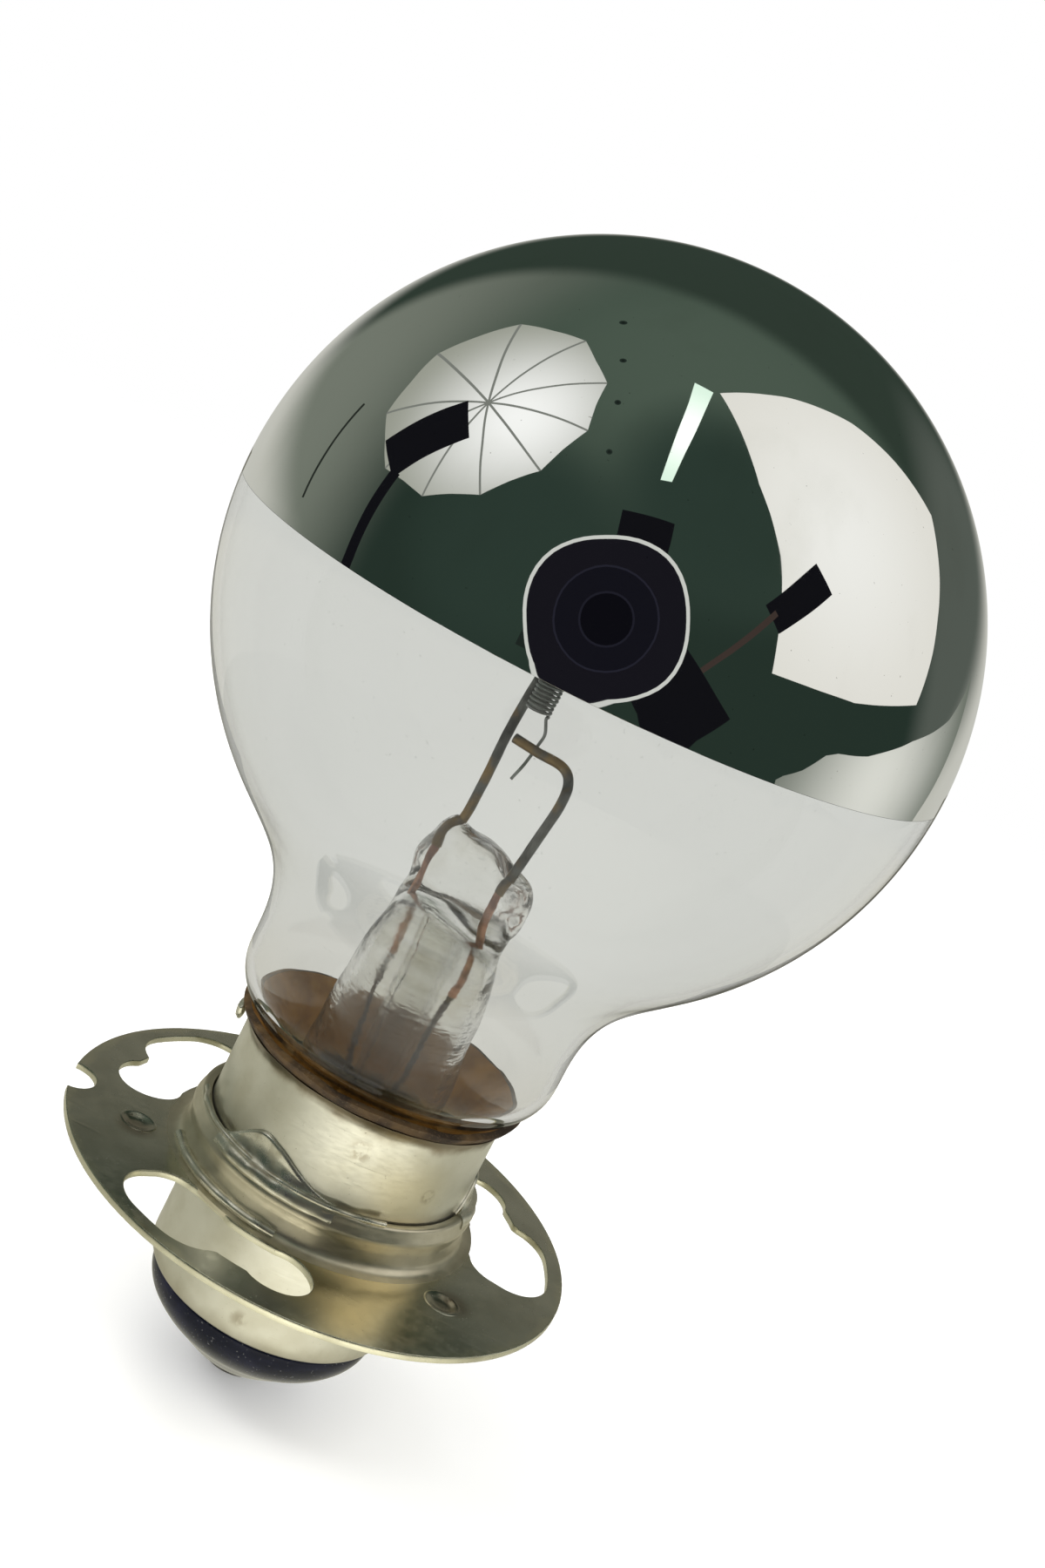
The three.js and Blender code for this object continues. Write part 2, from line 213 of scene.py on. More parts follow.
def ribbon(first, second):
    """Faces between two closed rows of point numbers."""
    count = len(first)
    return [[first[i], first[(i + 1) % count], second[(i + 1) % count], second[i]]
            for i in range(count)]


def closed_tube(rows, sides):
    """Faces of a tube with this many rows of points, and of its two ends."""
    numbers = [list(range(i * sides, (i + 1) * sides)) for i in range(rows)]
    faces = [face for pair in zip(numbers, numbers[1:]) for face in ribbon(*pair)]
    return [*faces, numbers[0], numbers[-1]]


def lathe(name, profile, segments=144, shape=None):
    """A surface of revolution. A profile that doesn't start on the axis closes on itself.

    shape(angle, r, z) may move a point: it returns its new x, y and z.
    """
    points = []
    rows = []
    for r, z in profile:
        if r < 1e-6:
            rows.append([len(points)] * segments)
            points.append(shape(0, 0, z) if shape else (0, 0, z))
            continue
        rows.append(list(range(len(points), len(points) + segments)))
        for i in range(segments):
            angle = 360 * i / segments
            points.append(shape(angle, r, z) if shape else polar(r, angle, z))
    if profile[0][0] > 1e-6:
        rows.append(rows[0])
    faces = []
    for pair in zip(rows, rows[1:]):
        for corners in ribbon(*pair):
            faces.append([c for k, c in enumerate(corners) if c != corners[k - 1]])
    return make_object(name, points, faces)


def tube(name, route, radius, sides=14, bend_steps=8, uneven=0.05):
    """A round wire along a route, slightly uneven, with closed ends."""
    path = [Vector(p) for p in (through(route, bend_steps) if bend_steps else route)]
    points = []
    side = Vector((0.31, 0.77, 0.55))
    for i, place in enumerate(path):
        along = (path[min(i + 1, len(path) - 1)] - path[max(i - 1, 0)]).normalized()
        side = (side - along * side.dot(along)).normalized()
        other = along.cross(side)
        for k in range(sides):
            angle = 2 * math.pi * k / sides
            out = side * math.cos(angle) + other * math.sin(angle)
            swell = 1 + uneven * rough(place + out * radius, radius * 3)
            points.append(place + out * radius * swell)
    return make_object(name, points, closed_tube(len(path), sides))


def blob(name, node, share, lumps, seed):
    """A lump of metal that has run and frozen: an uneven ellipsoid that fills a CAD node's box.

    share is its radius as a share of the box's side, and nothing of it leaves the box.
    """
    least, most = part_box(node)
    centre = (least + most) / 2 / MM
    size = (most - least) / MM * share
    work = bmesh.new()
    bmesh.ops.create_icosphere(work, subdivisions=5, radius=1)
    turn = Matrix.Rotation(math.atan2(centre[1], centre[0]), 3, "Z")
    for vertex in work.verts:
        way = vertex.co.copy()
        swell = 1 + lumps * rough(way, 0.8, seed) + lumps * 0.3 * rough(way, 0.3, seed)
        place = Vector(centre) + turn @ Vector([w * s * swell for w, s in zip(way, size)])
        vertex.co = [clamp(c, a / MM, b / MM) for c, a, b in zip(place, least, most)]
    points = [vertex.co.copy() for vertex in work.verts]
    faces = [[vertex.index for vertex in face.verts] for face in work.faces]
    work.free()
    return make_object(name, points, faces)


def soften(piece, width):
    """Rounds a piece's sharp edges."""
    rounding = piece.modifiers.new("edges", "BEVEL")
    rounding.width = width * MM
    rounding.segments = 2
    rounding.limit_method = "ANGLE"
    rounding.angle_limit = math.radians(35)
    return piece


def keep_piece(piece, slot, finish, *nodes):
    """The piece rides on the lamp, stands for CAD nodes and gets its material."""
    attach(piece, "root")
    if nodes:
        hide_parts(*nodes)
    piece.data.materials.clear()
    for made in finish if isinstance(finish, tuple) else (finish,):
        piece.data.materials.append(made)


# ---------------------------------------------------------------- node helpers

class Nodes:
    """Short calls for the nodes that the finishes, the studio's cards and the world use."""

    def __init__(self, owner, coordinates="Object"):
        owner.use_nodes = True
        self.tree = owner.node_tree
        self.coordinates = self.node("TexCoord", {}).outputs[coordinates]

    def feed(self, socket, value):
        """Links an output to a socket, or sets the socket to a number, a vector or a colour."""
        if hasattr(value, "is_output"):
            self.tree.links.new(value, socket)
        elif socket.type == "RGBA":
            socket.default_value = (*value[:3], 1)
        else:
            socket.default_value = value

    def node(self, kind, settings, **inputs):
        """A node with its inputs fed by name, or by number as i0, i1 and so on."""
        made = self.tree.nodes.new("ShaderNode" + kind)
        for key, value in settings.items():
            setattr(made, key, value)
        for key, value in inputs.items():
            numbered = key[0] == "i" and key[1:].isdigit()
            self.feed(made.inputs[int(key[1:]) if numbered else key], value)
        return made

    def noise(self, size, detail=3.0, stretch=(1, 1, 1)):
        """Noise with bumps of about this size in millimetres, drawn out where stretch is small."""
        scaled = self.node("VectorMath", {"operation": "MULTIPLY"}, i0=self.coordinates, i1=stretch)
        made = self.node("TexNoise", {}, Vector=scaled.outputs[0], Scale=1 / (size * MM), Detail=detail)
        return made.outputs["Fac"]

    def ramp(self, value, start, end, low=0.0, high=1.0):
        """Maps value from start..end to low..high with smooth ends."""
        made = self.node("MapRange", {"interpolation_type": "SMOOTHSTEP"}, i0=value, i1=start,
                         i2=end, i3=low, i4=high)
        return made.outputs[0]

    def spread(self, value, low=0.0, high=1.0):
        """Maps the middle of a noise's range, where most of it lies, to low..high."""
        return self.ramp(value, 0.3, 0.7, low, high)

    def patches(self, size, detail, start, end):
        """Noise of this size, cut to soft-edged patches or to specks."""
        return self.ramp(self.noise(size, detail), start, end)

    def math(self, operation, a, b=0.0):
        return self.node("Math", {"operation": operation}, i0=a, i1=b).outputs[0]

    def times(self, a, b):
        return self.math("MULTIPLY", a, b)

    def mix(self, share, a, b):
        """Colour a where share is 0, and b where it is 1."""
        return self.node("Mix", {"data_type": "RGBA"}, i0=share, i6=a, i7=b).outputs[2]

    def tint(self, tone, share, strength, colour):
        """The tone, with this colour over it where share is 1."""
        return self.mix(self.times(share, strength), tone, colour)

    def distance(self, point):
        """How far a surface point is from a point in metres."""
        away = self.node("VectorMath", {"operation": "DISTANCE"}, i0=self.coordinates, i1=point)
        return away.outputs["Value"]


class Paint(Nodes):
    """A finish: a material's nodes and its shader."""

    def __init__(self, name):
        self.material = bpy.data.materials.new(name)
        super().__init__(self.material)
        self.shader = self.tree.nodes["Principled BSDF"]

    def set(self, **values):
        """Feeds the shader's own sockets, named with _ for a space."""
        for key, value in values.items():
            self.feed(self.shader.inputs[key.replace("_", " ")], value)

    def bump(self, height, depth, before=None):
        """Relief of this depth in millimetres, on top of an earlier one."""
        made = self.node("Bump", {}, Height=height, Strength=1.0, Distance=depth * MM)
        if before is not None:
            self.feed(made.inputs["Normal"], before)
        return made.outputs["Normal"]

    def height(self):
        """A point's height in metres."""
        return self.node("SeparateXYZ", {}, Vector=self.coordinates).outputs["Z"]

    def radius(self):
        """A point's distance from the lamp's axis, in metres."""
        flat = self.node("VectorMath", {"operation": "MULTIPLY"}, i0=self.coordinates, i1=(1, 1, 0))
        return self.node("VectorMath", {"operation": "LENGTH"}, i0=flat.outputs[0]).outputs["Value"]

    def spot(self, centre, inner, outer):
        """1 within inner of a point, 0 beyond outer; all in millimetres."""
        away = self.distance([c * MM for c in centre])
        return self.ramp(away, inner * MM, outer * MM, 1.0, 0.0)

    def wander(self, value, size, reach):
        """The value, moved up and down by noise within about this reach in metres."""
        noise_value = self.math("SUBTRACT", self.noise(size, 4), 0.5)
        return self.math("ADD", value, self.times(noise_value, reach))


# ---------------------------------------------------------------- materials

def clear_glass():
    """Blown soda glass: faint draw streaks, a little dust, and a greyer neck."""
    paint = Paint("clear_glass")
    streaks = paint.noise(14, 2, (1, 1, 0.25))
    dust = paint.patches(0.35, 2, 0.70, 0.78)
    film = paint.ramp(paint.noise(9, 4), 0.35, 0.75, 0.0, 0.012)
    neck = paint.ramp(paint.height(), NECK_TOP * MM, NECK_FOOT * MM)
    tone = paint.mix(neck, (0.975, 0.98, 0.972), (0.93, 0.92, 0.885))
    paint.set(Base_Color=paint.mix(dust, tone, (0.80, 0.81, 0.79)))
    paint.set(Roughness=paint.math("ADD", film, paint.times(dust, 0.12)))
    paint.set(Transmission_Weight=1.0, IOR=THIN_GLASS_IOR, Normal=paint.bump(streaks, 0.06))
    return paint.material


def stem_glass():
    """Flame-worked lead glass: uneven, with seed bubbles, smoke and a foot stained by cement."""
    paint = Paint("stem_glass")
    waves = paint.noise(2.2, 3)
    smoke = paint.patches(4, 4, 0.45, 0.8)
    seeds = paint.patches(0.28, 1, 0.70, 0.76)
    tone = paint.mix(smoke, (0.92, 0.92, 0.90), (0.78, 0.76, 0.69))
    foot = paint.ramp(paint.height(), 15 * MM, 7 * MM)
    tone = paint.mix(foot, tone, (0.93, 0.80, 0.56))
    paint.set(Base_Color=paint.mix(seeds, tone, (0.6, 0.6, 0.56)))
    paint.set(Roughness=paint.ramp(waves, 0.3, 0.75, 0.06, 0.24))
    bands = paint.bump(paint.noise(1.5, 3, (0.5, 0.5, 2)), 0.06)
    paint.set(Transmission_Weight=1.0, IOR=STEM_GLASS_IOR, Normal=paint.bump(waves, 0.08, bands))
    return paint.material


def mirror():
    """Silvering seen through glass: pinholes, faint rub marks and the glass's own gloss."""
    paint = Paint("silvering")
    waves = paint.noise(11, 2)
    pinholes = paint.patches(0.3, 2, 0.74, 0.80)
    rubbed = paint.ramp(paint.noise(5, 5, (1, 1, 0.4)), 0.5, 0.8)
    tone = paint.mix(rubbed, (0.90, 0.91, 0.89), (0.84, 0.85, 0.82))
    paint.set(Base_Color=paint.mix(pinholes, tone, (0.45, 0.46, 0.43)))
    paint.set(Roughness=paint.ramp(rubbed, 0.0, 1.0, 0.012, 0.035))
    paint.set(Metallic=1.0, Coat_Weight=0.6, Coat_Roughness=0.01, Coat_IOR=1.5)
    paint.set(Normal=paint.bump(waves, 0.035))
    return paint.material


def plated(name, bright, dull, roughness, grain=(1, 1, 3), stains_and_painted_light=None):
    """Nickel plate on brass: drawing marks, mottled tarnish, pits and hair scratches."""
    paint = Paint(name)
    mottle = paint.noise(4.5, 5)
    marks = paint.noise(0.9, 2, grain)
    pits = paint.patches(0.16, 2, 0.70, 0.78)
    scratches = paint.ramp(paint.noise(2.4, 2, (0.25, 1, 3)), 0.60, 0.64)
    tone = paint.mix(paint.ramp(mottle, 0.30, 0.75), bright, dull)
    tone = paint.tint(tone, pits, 0.45, [c * 0.35 for c in dull])
    if stains_and_painted_light:
        tone = stains_and_painted_light(paint, tone)
    gloss = paint.ramp(marks, 0.25, 0.75, *roughness)
    gloss = paint.math("ADD", gloss, paint.times(pits, 0.18))
    relief = paint.bump(marks, 0.0003)
    relief = paint.bump(scratches, 0.003, relief)
    relief = paint.bump(pits, -0.006, relief)
    paint.set(Base_Color=tone, Roughness=gloss, Metallic=1.0, Normal=relief)
    return paint.material


def barrel_stains_and_painted_reflection(paint, tone):
    """Yellow-brown flux line under the rim, a brown inside, small stains on the barrel and a painted warm
    reflection on its front.
    """
    height = paint.height()
    wandered = paint.wander(height, 2.5, 2.2 * MM)
    line = paint.ramp(wandered, (SHELL_RIM - 1.5) * MM, (SHELL_RIM - 0.3) * MM)
    tone = paint.tint(tone, line, 0.75, (0.20, 0.13, 0.055))
    foot = paint.ramp(wandered, (SHELL_FOOT + 2.2) * MM, (SHELL_FOOT + 0.3) * MM)
    tone = paint.tint(tone, foot, 0.45, (0.30, 0.26, 0.17))
    blotch = paint.patches(0.8, 4, 0.42, 0.62)
    inside = paint.ramp(paint.radius(), (SHELL_LOWER_R - 0.15) * MM, (SHELL_LOWER_R - 0.25) * MM)
    inside = paint.times(inside, paint.ramp(height, CURL_TOP * MM, (CURL_TOP + 0.4) * MM))
    tone = paint.mix(inside, tone, (0.20, 0.115, 0.045))
    # Painted reflection: a warm yellow patch on the barrel's front that stands in for warm light it
    # reflects.
    warm = paint.spot(polar(SHELL_R, 305, 6.4), 0.5, 5.5)
    tone = paint.tint(tone, warm, 0.5, (0.72, 0.62, 0.36))
    for angle, place, reach in ((279, 9.8, 1.3), (265, -8.3, 1.2), (316, 7.2, 0.9), (150, 8.0, 1.4)):
        near = paint.spot(polar(SHELL_R, angle, place), 0.2, reach)
        tone = paint.tint(tone, paint.times(near, blotch), 0.7, (0.24, 0.18, 0.10))
    return tone


def flange_stains_and_painted_light(paint, tone):
    """A painted reflection of the barrel's yellow beside it, a painted warm reflection at the front, a
    worn rim, and painted shade as a brown patch over each dimple.
    """
    wandered = paint.wander(paint.radius(), 3, 3 * MM)
    # Painted reflection: the barrel's yellow, painted onto the flange near the barrel.
    inner = paint.ramp(wandered, 15.5 * MM, 13 * MM)
    tone = paint.tint(tone, inner, 0.5, (0.70, 0.64, 0.44))
    # Painted reflection: a warm yellow patch on the front of the flange.
    front = paint.spot(polar(16.5, 292, FLANGE_THICK), 3.0, 9.5)
    tone = paint.tint(tone, front, 0.75, (0.86, 0.72, 0.40))
    worn = paint.ramp(wandered, (FLANGE_R - 0.9) * MM, (FLANGE_R - 0.2) * MM)
    tone = paint.tint(tone, worn, 0.5, (0.80, 0.77, 0.58))
    # Painted shade: a dark brown patch over each dimple's hollow, set slightly to one side.
    for angle in DIMPLE_ANGLES:
        near = paint.spot(polar(DIMPLE_PITCH + 0.3, angle + 3, FLANGE_THICK), 0.9, 2.2)
        tone = paint.tint(tone, near, 0.55, (0.21, 0.15, 0.085))
    return tone


def solder():
    """Dull tin-lead solder: frosted patches between shiny ones, and dark flux in the hollows."""
    paint = Paint("solder")
    frost = paint.noise(1.1, 3)
    flux = paint.patches(1.6, 4, 0.55, 0.72)
    tone = paint.mix(paint.spread(frost), (0.86, 0.84, 0.72), (0.66, 0.63, 0.50))
    tone = paint.tint(tone, flux, 0.3, (0.24, 0.19, 0.12))
    relief = paint.bump(paint.noise(0.5, 2), 0.0015)
    relief = paint.bump(frost, 0.004, relief)
    paint.set(Base_Color=tone, Metallic=1.0, Roughness=paint.spread(frost, 0.24, 0.38), Normal=relief)
    return paint.material


def cement():
    """Baked basing cement: brown resin with pale marble grit."""
    paint = Paint("cement")
    patches = paint.noise(1.8, 5)
    grit = paint.patches(0.22, 2, 0.60, 0.70)
    scorched = paint.patches(3.5, 3, 0.42, 0.62)
    tone = paint.mix(paint.spread(patches), (0.115, 0.066, 0.022), (0.045, 0.026, 0.011))
    tone = paint.tint(tone, scorched, 0.7, (0.022, 0.014, 0.009))
    tone = paint.tint(tone, grit, 0.4, (0.24, 0.16, 0.08))
    relief = paint.bump(patches, 0.10)
    relief = paint.bump(grit, 0.05, relief)
    paint.set(Base_Color=tone, Roughness=paint.spread(patches, 0.62, 0.92), Normal=relief)
    return paint.material


def cement_lining():
    """The cement's face against the neck: a bright amber, paler lower down and far brighter than the
    cement, as painted light for the light that the glass holds back.

    A weak glow stands for the daylight that reaches it through several layers of glass.
    """
    paint = Paint("cement_lining")
    patches = paint.noise(2.6, 5)
    depth = paint.ramp(paint.height(), 4.5 * MM, 10.0 * MM)
    # Painted light: a bright amber, paler lower down, in place of the light that the glass holds back.
    tone = paint.mix(paint.ramp(patches, 0.32, 0.68), (0.92, 0.44, 0.07), (0.55, 0.25, 0.045))
    tone = paint.mix(depth, (1.0, 0.70, 0.32), tone)
    relief = paint.bump(patches, 0.12)
    paint.set(Base_Color=paint.mix(0.65, tone, (0.0, 0.0, 0.0)), Normal=relief)
    paint.set(Emission_Color=tone, Emission_Strength=0.09)
    paint.set(Roughness=paint.spread(patches, 0.45, 0.75))
    return paint.material


def black_glass():
    """Pressed insulating glass: blue-black and glossy, with flow lines and dusty pits."""
    paint = Paint("black_glass")
    flow = paint.noise(5, 4, (1, 1, 2.5))
    dust = paint.patches(0.3, 3, 0.64, 0.72)
    tone = paint.mix(paint.ramp(flow, 0.35, 0.7), (0.004, 0.005, 0.011), (0.012, 0.013, 0.028))
    paint.set(Base_Color=paint.mix(dust, tone, (0.10, 0.10, 0.10)))
    gloss = paint.math("ADD", paint.spread(flow, 0.06, 0.16), paint.times(dust, 0.3))
    paint.set(Roughness=gloss, Specular_IOR_Level=0.18, Normal=paint.bump(flow, 0.04))
    return paint.material


def wire_metal(name, bright, dull, warm, roughness):
    """Drawn wire: die lines along it, an oxide skin and warmer patches from the flame."""
    paint = Paint(name)
    skin = paint.noise(1.3, 4)
    lines = paint.noise(0.16, 3, (1, 1, 0.12))
    burnt = paint.patches(2.6, 2, 0.44, 0.60)
    tone = paint.mix(paint.spread(skin), bright, dull)
    tone = paint.tint(tone, burnt, 0.7, warm)
    relief = paint.bump(lines, 0.012)
    relief = paint.bump(skin, 0.03, relief)
    paint.set(Base_Color=tone, Metallic=0.85, Normal=relief)
    paint.set(Roughness=paint.spread(skin, *roughness))
    return paint.material


def make_materials():
    return {
        "glass": clear_glass(),
        "stem": stem_glass(),
        "mirror": mirror(),
        "barrel": plated("cap_nickel", (0.83, 0.82, 0.73), (0.68, 0.66, 0.55), (0.30, 0.37),
                         stains_and_painted_light=barrel_stains_and_painted_reflection),
        "flange": plated("flange_nickel", (0.66, 0.66, 0.56), (0.50, 0.50, 0.41), (0.17, 0.27),
                         (1, 1, 1), stains_and_painted_light=flange_stains_and_painted_light),
        "edge": plated("flange_nickel_worn", (0.78, 0.76, 0.60), (0.56, 0.54, 0.41), (0.20, 0.32)),
        "collar": plated("collar_nickel", (0.78, 0.73, 0.57), (0.58, 0.53, 0.39), (0.32, 0.44)),
        "solder": solder(),
        "cement": cement(),
        "black": black_glass(),
        "lead": wire_metal("lead_nickel", (0.10, 0.105, 0.095), (0.035, 0.037, 0.036),
                           (0.30, 0.19, 0.06), (0.34, 0.6)),
        "tungsten": wire_metal("tungsten", (0.22, 0.23, 0.22), (0.10, 0.11, 0.10),
                               (0.13, 0.15, 0.13), (0.3, 0.5)),
        "copper": wire_metal("copper_clad", (0.62, 0.33, 0.22), (0.36, 0.17, 0.11),
                             (0.20, 0.09, 0.06), (0.3, 0.55)),
        "oxidised": wire_metal("copper_oxidised", (0.17, 0.13, 0.10), (0.08, 0.065, 0.05),
                               (0.12, 0.07, 0.05), (0.3, 0.55)),
        "contact": plated("contact_brass", (0.030, 0.029, 0.032), (0.015, 0.014, 0.017), (0.3, 0.5)),
        "lining": cement_lining(),
    }


# ---------------------------------------------------------------- glass envelope

def envelope_outline():
    """Outer outline from the mirror's edge down to the neck's end, in r and z."""
    globe = arc((0, CENTRE), GLOBE_R, 0, -45, 48)
    start = globe[-1]
    reach = 5.5 * math.sin(math.radians(45))
    waist = bezier(start, (start[0] - reach, start[1] - reach), (NECK_R, 26), (NECK_R, 19.5), 44)
    shoulder = bezier((NECK_R, 17.8), (NECK_R, 14), (10.2, 13.8), (NECK_IN_CAP_R, 10.4), 28)
    return globe + waist[1:] + shoulder + [(NECK_IN_CAP_R, 7), (NECK_IN_CAP_R, NECK_END)]


def build_envelope(paint):
    outer = envelope_outline()
    inner = inset(outer, -GLASS_WALL)
    inner[0] = (GLOBE_R - GLASS_WALL, CENTRE)
    glass = lathe("bulb_glass_envelope", outer + inner[::-1], 192)
    keep_piece(glass, "clear_glass", paint["glass"], "bulb_glass")

    gap = 0.02
    crown = arc((0, CENTRE), GLOBE_R, 90, 0, 64)[:-1] + [(GLOBE_R, CENTRE + gap)]
    within_r = GLOBE_R - MIRROR_WALL
    within = [(within_r, CENTRE + gap)] + arc((0, CENTRE), within_r, 0, 90, 48)[1:]
    crown[0] = (0, CENTRE + GLOBE_R)
    within[-1] = (0, CENTRE + within_r)
    dome = lathe("mirror_dome", crown + within, 192)
    keep_piece(dome, "silvering", paint["mirror"], "mirror_coating")


# ---------------------------------------------------------------- stem and wires

PINCH_CENTRE = (0.1, -0.6)
PINCH_TURN = -33.5
PINCH_HALF = (5.4, 2.3)                      # half its width and thickness
STEM_NECK_R = 5.6
PRESS_BEADS = (                              # place, reach and rise of each bead of melted glass
    ((-3.3, 1.6, 33.2), 1.1, 0.9),
    ((2.9, -2.4, 33.2), 1.2, -1.6),
    ((0.4, -0.8, 33.4), 1.5, 0.2),
)


def pinch_radius(angle):
    """Radius of the press's flattened section at an angle about the axis."""
    turned = math.radians(angle - PINCH_TURN)
    power = 2.6
    wide = abs(math.cos(turned) / PINCH_HALF[0]) ** power
    thin = abs(math.sin(turned) / PINCH_HALF[1]) ** power
    return (wide + thin) ** (-1 / power)


def stem_shape(angle, r, z):
    """Squashes the stem's top into the press, and makes flame-worked glass uneven."""
    pressed = smooth_step(STEM_TOP - 4.5, STEM_TOP + 1.2, z)
    flat = r / STEM_NECK_R * pinch_radius(angle)
    radius = r + (flat - r) * pressed
    x, y = polar(radius, angle)
    x += PINCH_CENTRE[0] * pressed
    y += PINCH_CENTRE[1] * pressed
    wave = 0.03 + 0.17 * pressed
    swell = 1 + wave * rough((x, y, z), 2.8, 2) * min(1, r / 3)
    x, y = x * swell, y * swell
    for (bead_x, bead_y, bead_z), reach, rise in PRESS_BEADS:
        near = math.exp(-((x - bead_x) ** 2 + (y - bead_y) ** 2 + (z - bead_z) ** 2) / reach ** 2)
        z += rise * near * pressed
    return x, y, z + 0.35 * pressed * rough((x, y, z), 3, 5)


def build_stem(paint):
    flare = [(9.62, 4.0), (8.7, 4.3), (8, 5.4), (7, 9), (6.3, 15), (5.8, 22), (STEM_NECK_R, 26)]
    wall = through(flare, 5)
    shoulder = [(STEM_NECK_R, STEM_TOP), (STEM_NECK_R, 30), (5.5, 31.8), (4.9, 33.0), (3.4, 33.5)]
    outer = wall + through(shoulder, 5) + [(1.6, PINCH_TOP), (0, PINCH_TOP)]
    cavity = [(r - 0.9, z) for r, z in wall[::-1]]
    inner = [(0, 26.4), (1.6, 26.5), (3.4, 26.3), (4.4, 25.6)] + cavity[2:]
    profile = inner + outer[1:]
    stem = lathe("stem_and_press", profile, 96, stem_shape)
    keep_piece(stem, "stem_glass", paint["stem"], "stem_tube", "stem_pinch")

    def bent(angle, r, z):
        x, y = polar(r * (1 + 0.05 * rough((r, angle / 40, z), 2, 3)), angle)
        return x, y, z
    tip = low("exhaust_tube", 2)
    mouth = high("exhaust_tube", 2)
    outside = [(1.9, mouth), (1.9, mouth - 3), (1.9, tip + 4), (1.7, tip + 1.8), (1.0, tip + 0.5)]
    inside = [(1.2, mouth), (1.2, tip + 4), (1.0, tip + 2.2), (0.5, tip + 1.4), (0, tip + 1.2)]
    line = inside[::-1] + outside + [(0.4, tip + 0.05), (0, tip)]
    exhaust = lathe("exhaust_tube_glass", line, 48, bent)
    keep_piece(exhaust, "stem_glass", paint["stem"], "exhaust_tube")


def build_leads(paint):
    left = [(-3.4, 1.5, 31.0), (-3.45, 1.5, 32.8), (-2.8, 1.6, 34.2), (-2.65, 1.8, 38),
            (-2.65, 1.9, 42.5), (-2.35, 1.9, 47), (-1.8, 1.9, 53), (-1.45, 1.8, 57.7), (-1.3, 0.9, 58.7)]
    right = [(2.65, -2.5, 31.0), (2.95, -2.5, 33.4), (3.4, -2.4, 37), (3.7, -2.3, 39.6),
             (3.5, -2.2, 41.5), (2.5, -1.9, 42.45), (0.2, -1.4, 42.5), (-1.95, -0.8, 42.6)]
    for side, route in (("left", left), ("right", right)):
        piece = tube("support_wire_" + side, route, SUPPORT_R, 18, 10)
        keep_piece(piece, "lead_nickel", paint["lead"], "lead_support_" + side)
    seals = {
        "left": [(-3.4, 1.5, 31.2), (-3.5, 1.3, 28.5), (-3.2, 1.2, 25.5), (-3.3, 0.9, 22)],
        "right": [(2.65, -2.5, 31.2), (2.5, -2.3, 28.4), (2.9, -2.0, 25.4), (2.8, -1.8, 22)],
    }
    tails = {
        "left": [(-3.3, 0.9, 22), (-3.1, 0.7, 17), (-2.6, 0.4, 12), (-2.6, 0.2, 6.5)],
        "right": [(2.8, -1.8, 22), (2.3, -1.5, 17), (2.4, -1.0, 12), (1.5, -0.8, 6)],
    }
    for side in ("left", "right"):
        seal = tube("copper_seal_" + side, seals[side], SEAL_R, 14, 8, 0.12)
        keep_piece(seal, "copper_clad", paint["copper"], "seal_wire_" + side)
        tail = tube("wire_tail_" + side, tails[side], TAIL_R, 12, 8, 0.08)
        keep_piece(tail, "copper_clad", paint["oxidised"], "tail_wire_" + side)


def build_filament(paint):
    """Close turns, whose last ones bend away into two legs."""
    steps = 22                               # points to a turn
    route = []
    for i in range(COIL_TURNS * steps + 1):
        share = i / (COIL_TURNS * steps)
        x, y = polar(COIL_R * (1 + 0.02 * math.sin(i * 0.37)), 360 * i / steps)
        sway = 0.12 * math.sin(share * math.pi)
        height = COIL_FOOT + 0.2 + (COIL_TOP - COIL_FOOT - 0.4) * share
        route.append((COIL_AXIS[0] + x + sway, COIL_AXIS[1] + y, height))
    coil = tube("filament_turns", route, COIL_WIRE_R, 8, 0, 0.04)
    keep_piece(coil, "tungsten", paint["tungsten"], "filament_coil")
    foot = [route[0], (-0.35, 0.0, 44.9), (0.1, -0.1, 43.8), (0, -0.3, 42.8), (-0.3, -0.5, 41),
            (-0.75, -0.6, 39.4)]
    lower = tube("filament_foot", foot, COIL_WIRE_R + 0.01, 10, 10)
    keep_piece(lower, "tungsten", paint["tungsten"], "filament_lower_leg")
    head = [route[-1], (-0.7, 0.1, 57.4), (-1.2, 0.1, 58.4), (-1.3, 0, 59.3)]
    upper = tube("filament_head", head, COIL_WIRE_R + 0.01, 10, 8)
    keep_piece(upper, "tungsten", paint["tungsten"], "filament_upper_leg")


# ---------------------------------------------------------------- cap

def build_barrel(paint):
    rim = bezier((SHELL_RIM_R, SHELL_RIM), (11.75, 12.1), (SHELL_R, 11.9), (SHELL_R, 11.2), 10)
    step = bezier((SHELL_R, 2.6), (SHELL_R, 1.7), (SHELL_LOWER_R, 2.1), (SHELL_LOWER_R, 1.2), 8)
    curl = bezier((SHELL_LOWER_R, CURL_TOP), (SHELL_LOWER_R, -9.9), (10.9, -10.35),
                  (10.25, SHELL_FOOT + 0.02), 10)
    outer = rim + [(SHELL_R, 8), (SHELL_R, 5)] + step + [(SHELL_LOWER_R, -3), (SHELL_LOWER_R, -6)] + curl
    inner = inset(outer, -SHELL_WALL)
    inner[0] = (SHELL_RIM_R - SHELL_WALL, SHELL_RIM)

    def dented(angle, r, z):
        """Thin drawn brass is never quite round."""
        x, y = polar(r, angle)
        dent = 0.07 * rough((x, y, z), 9, 4) - 0.03
        edge = 0.10 * rough((x, y, 0), 3, 8) * smooth_step(SHELL_RIM - 1.6, SHELL_RIM, z)
        return (*polar(r + dent, angle), z - abs(edge))
    shell = soften(lathe("cap_barrel", outer + inner[::-1], 192, dented), 0.06)
    keep_piece(shell, "cap_nickel", paint["barrel"], "cap_shell")


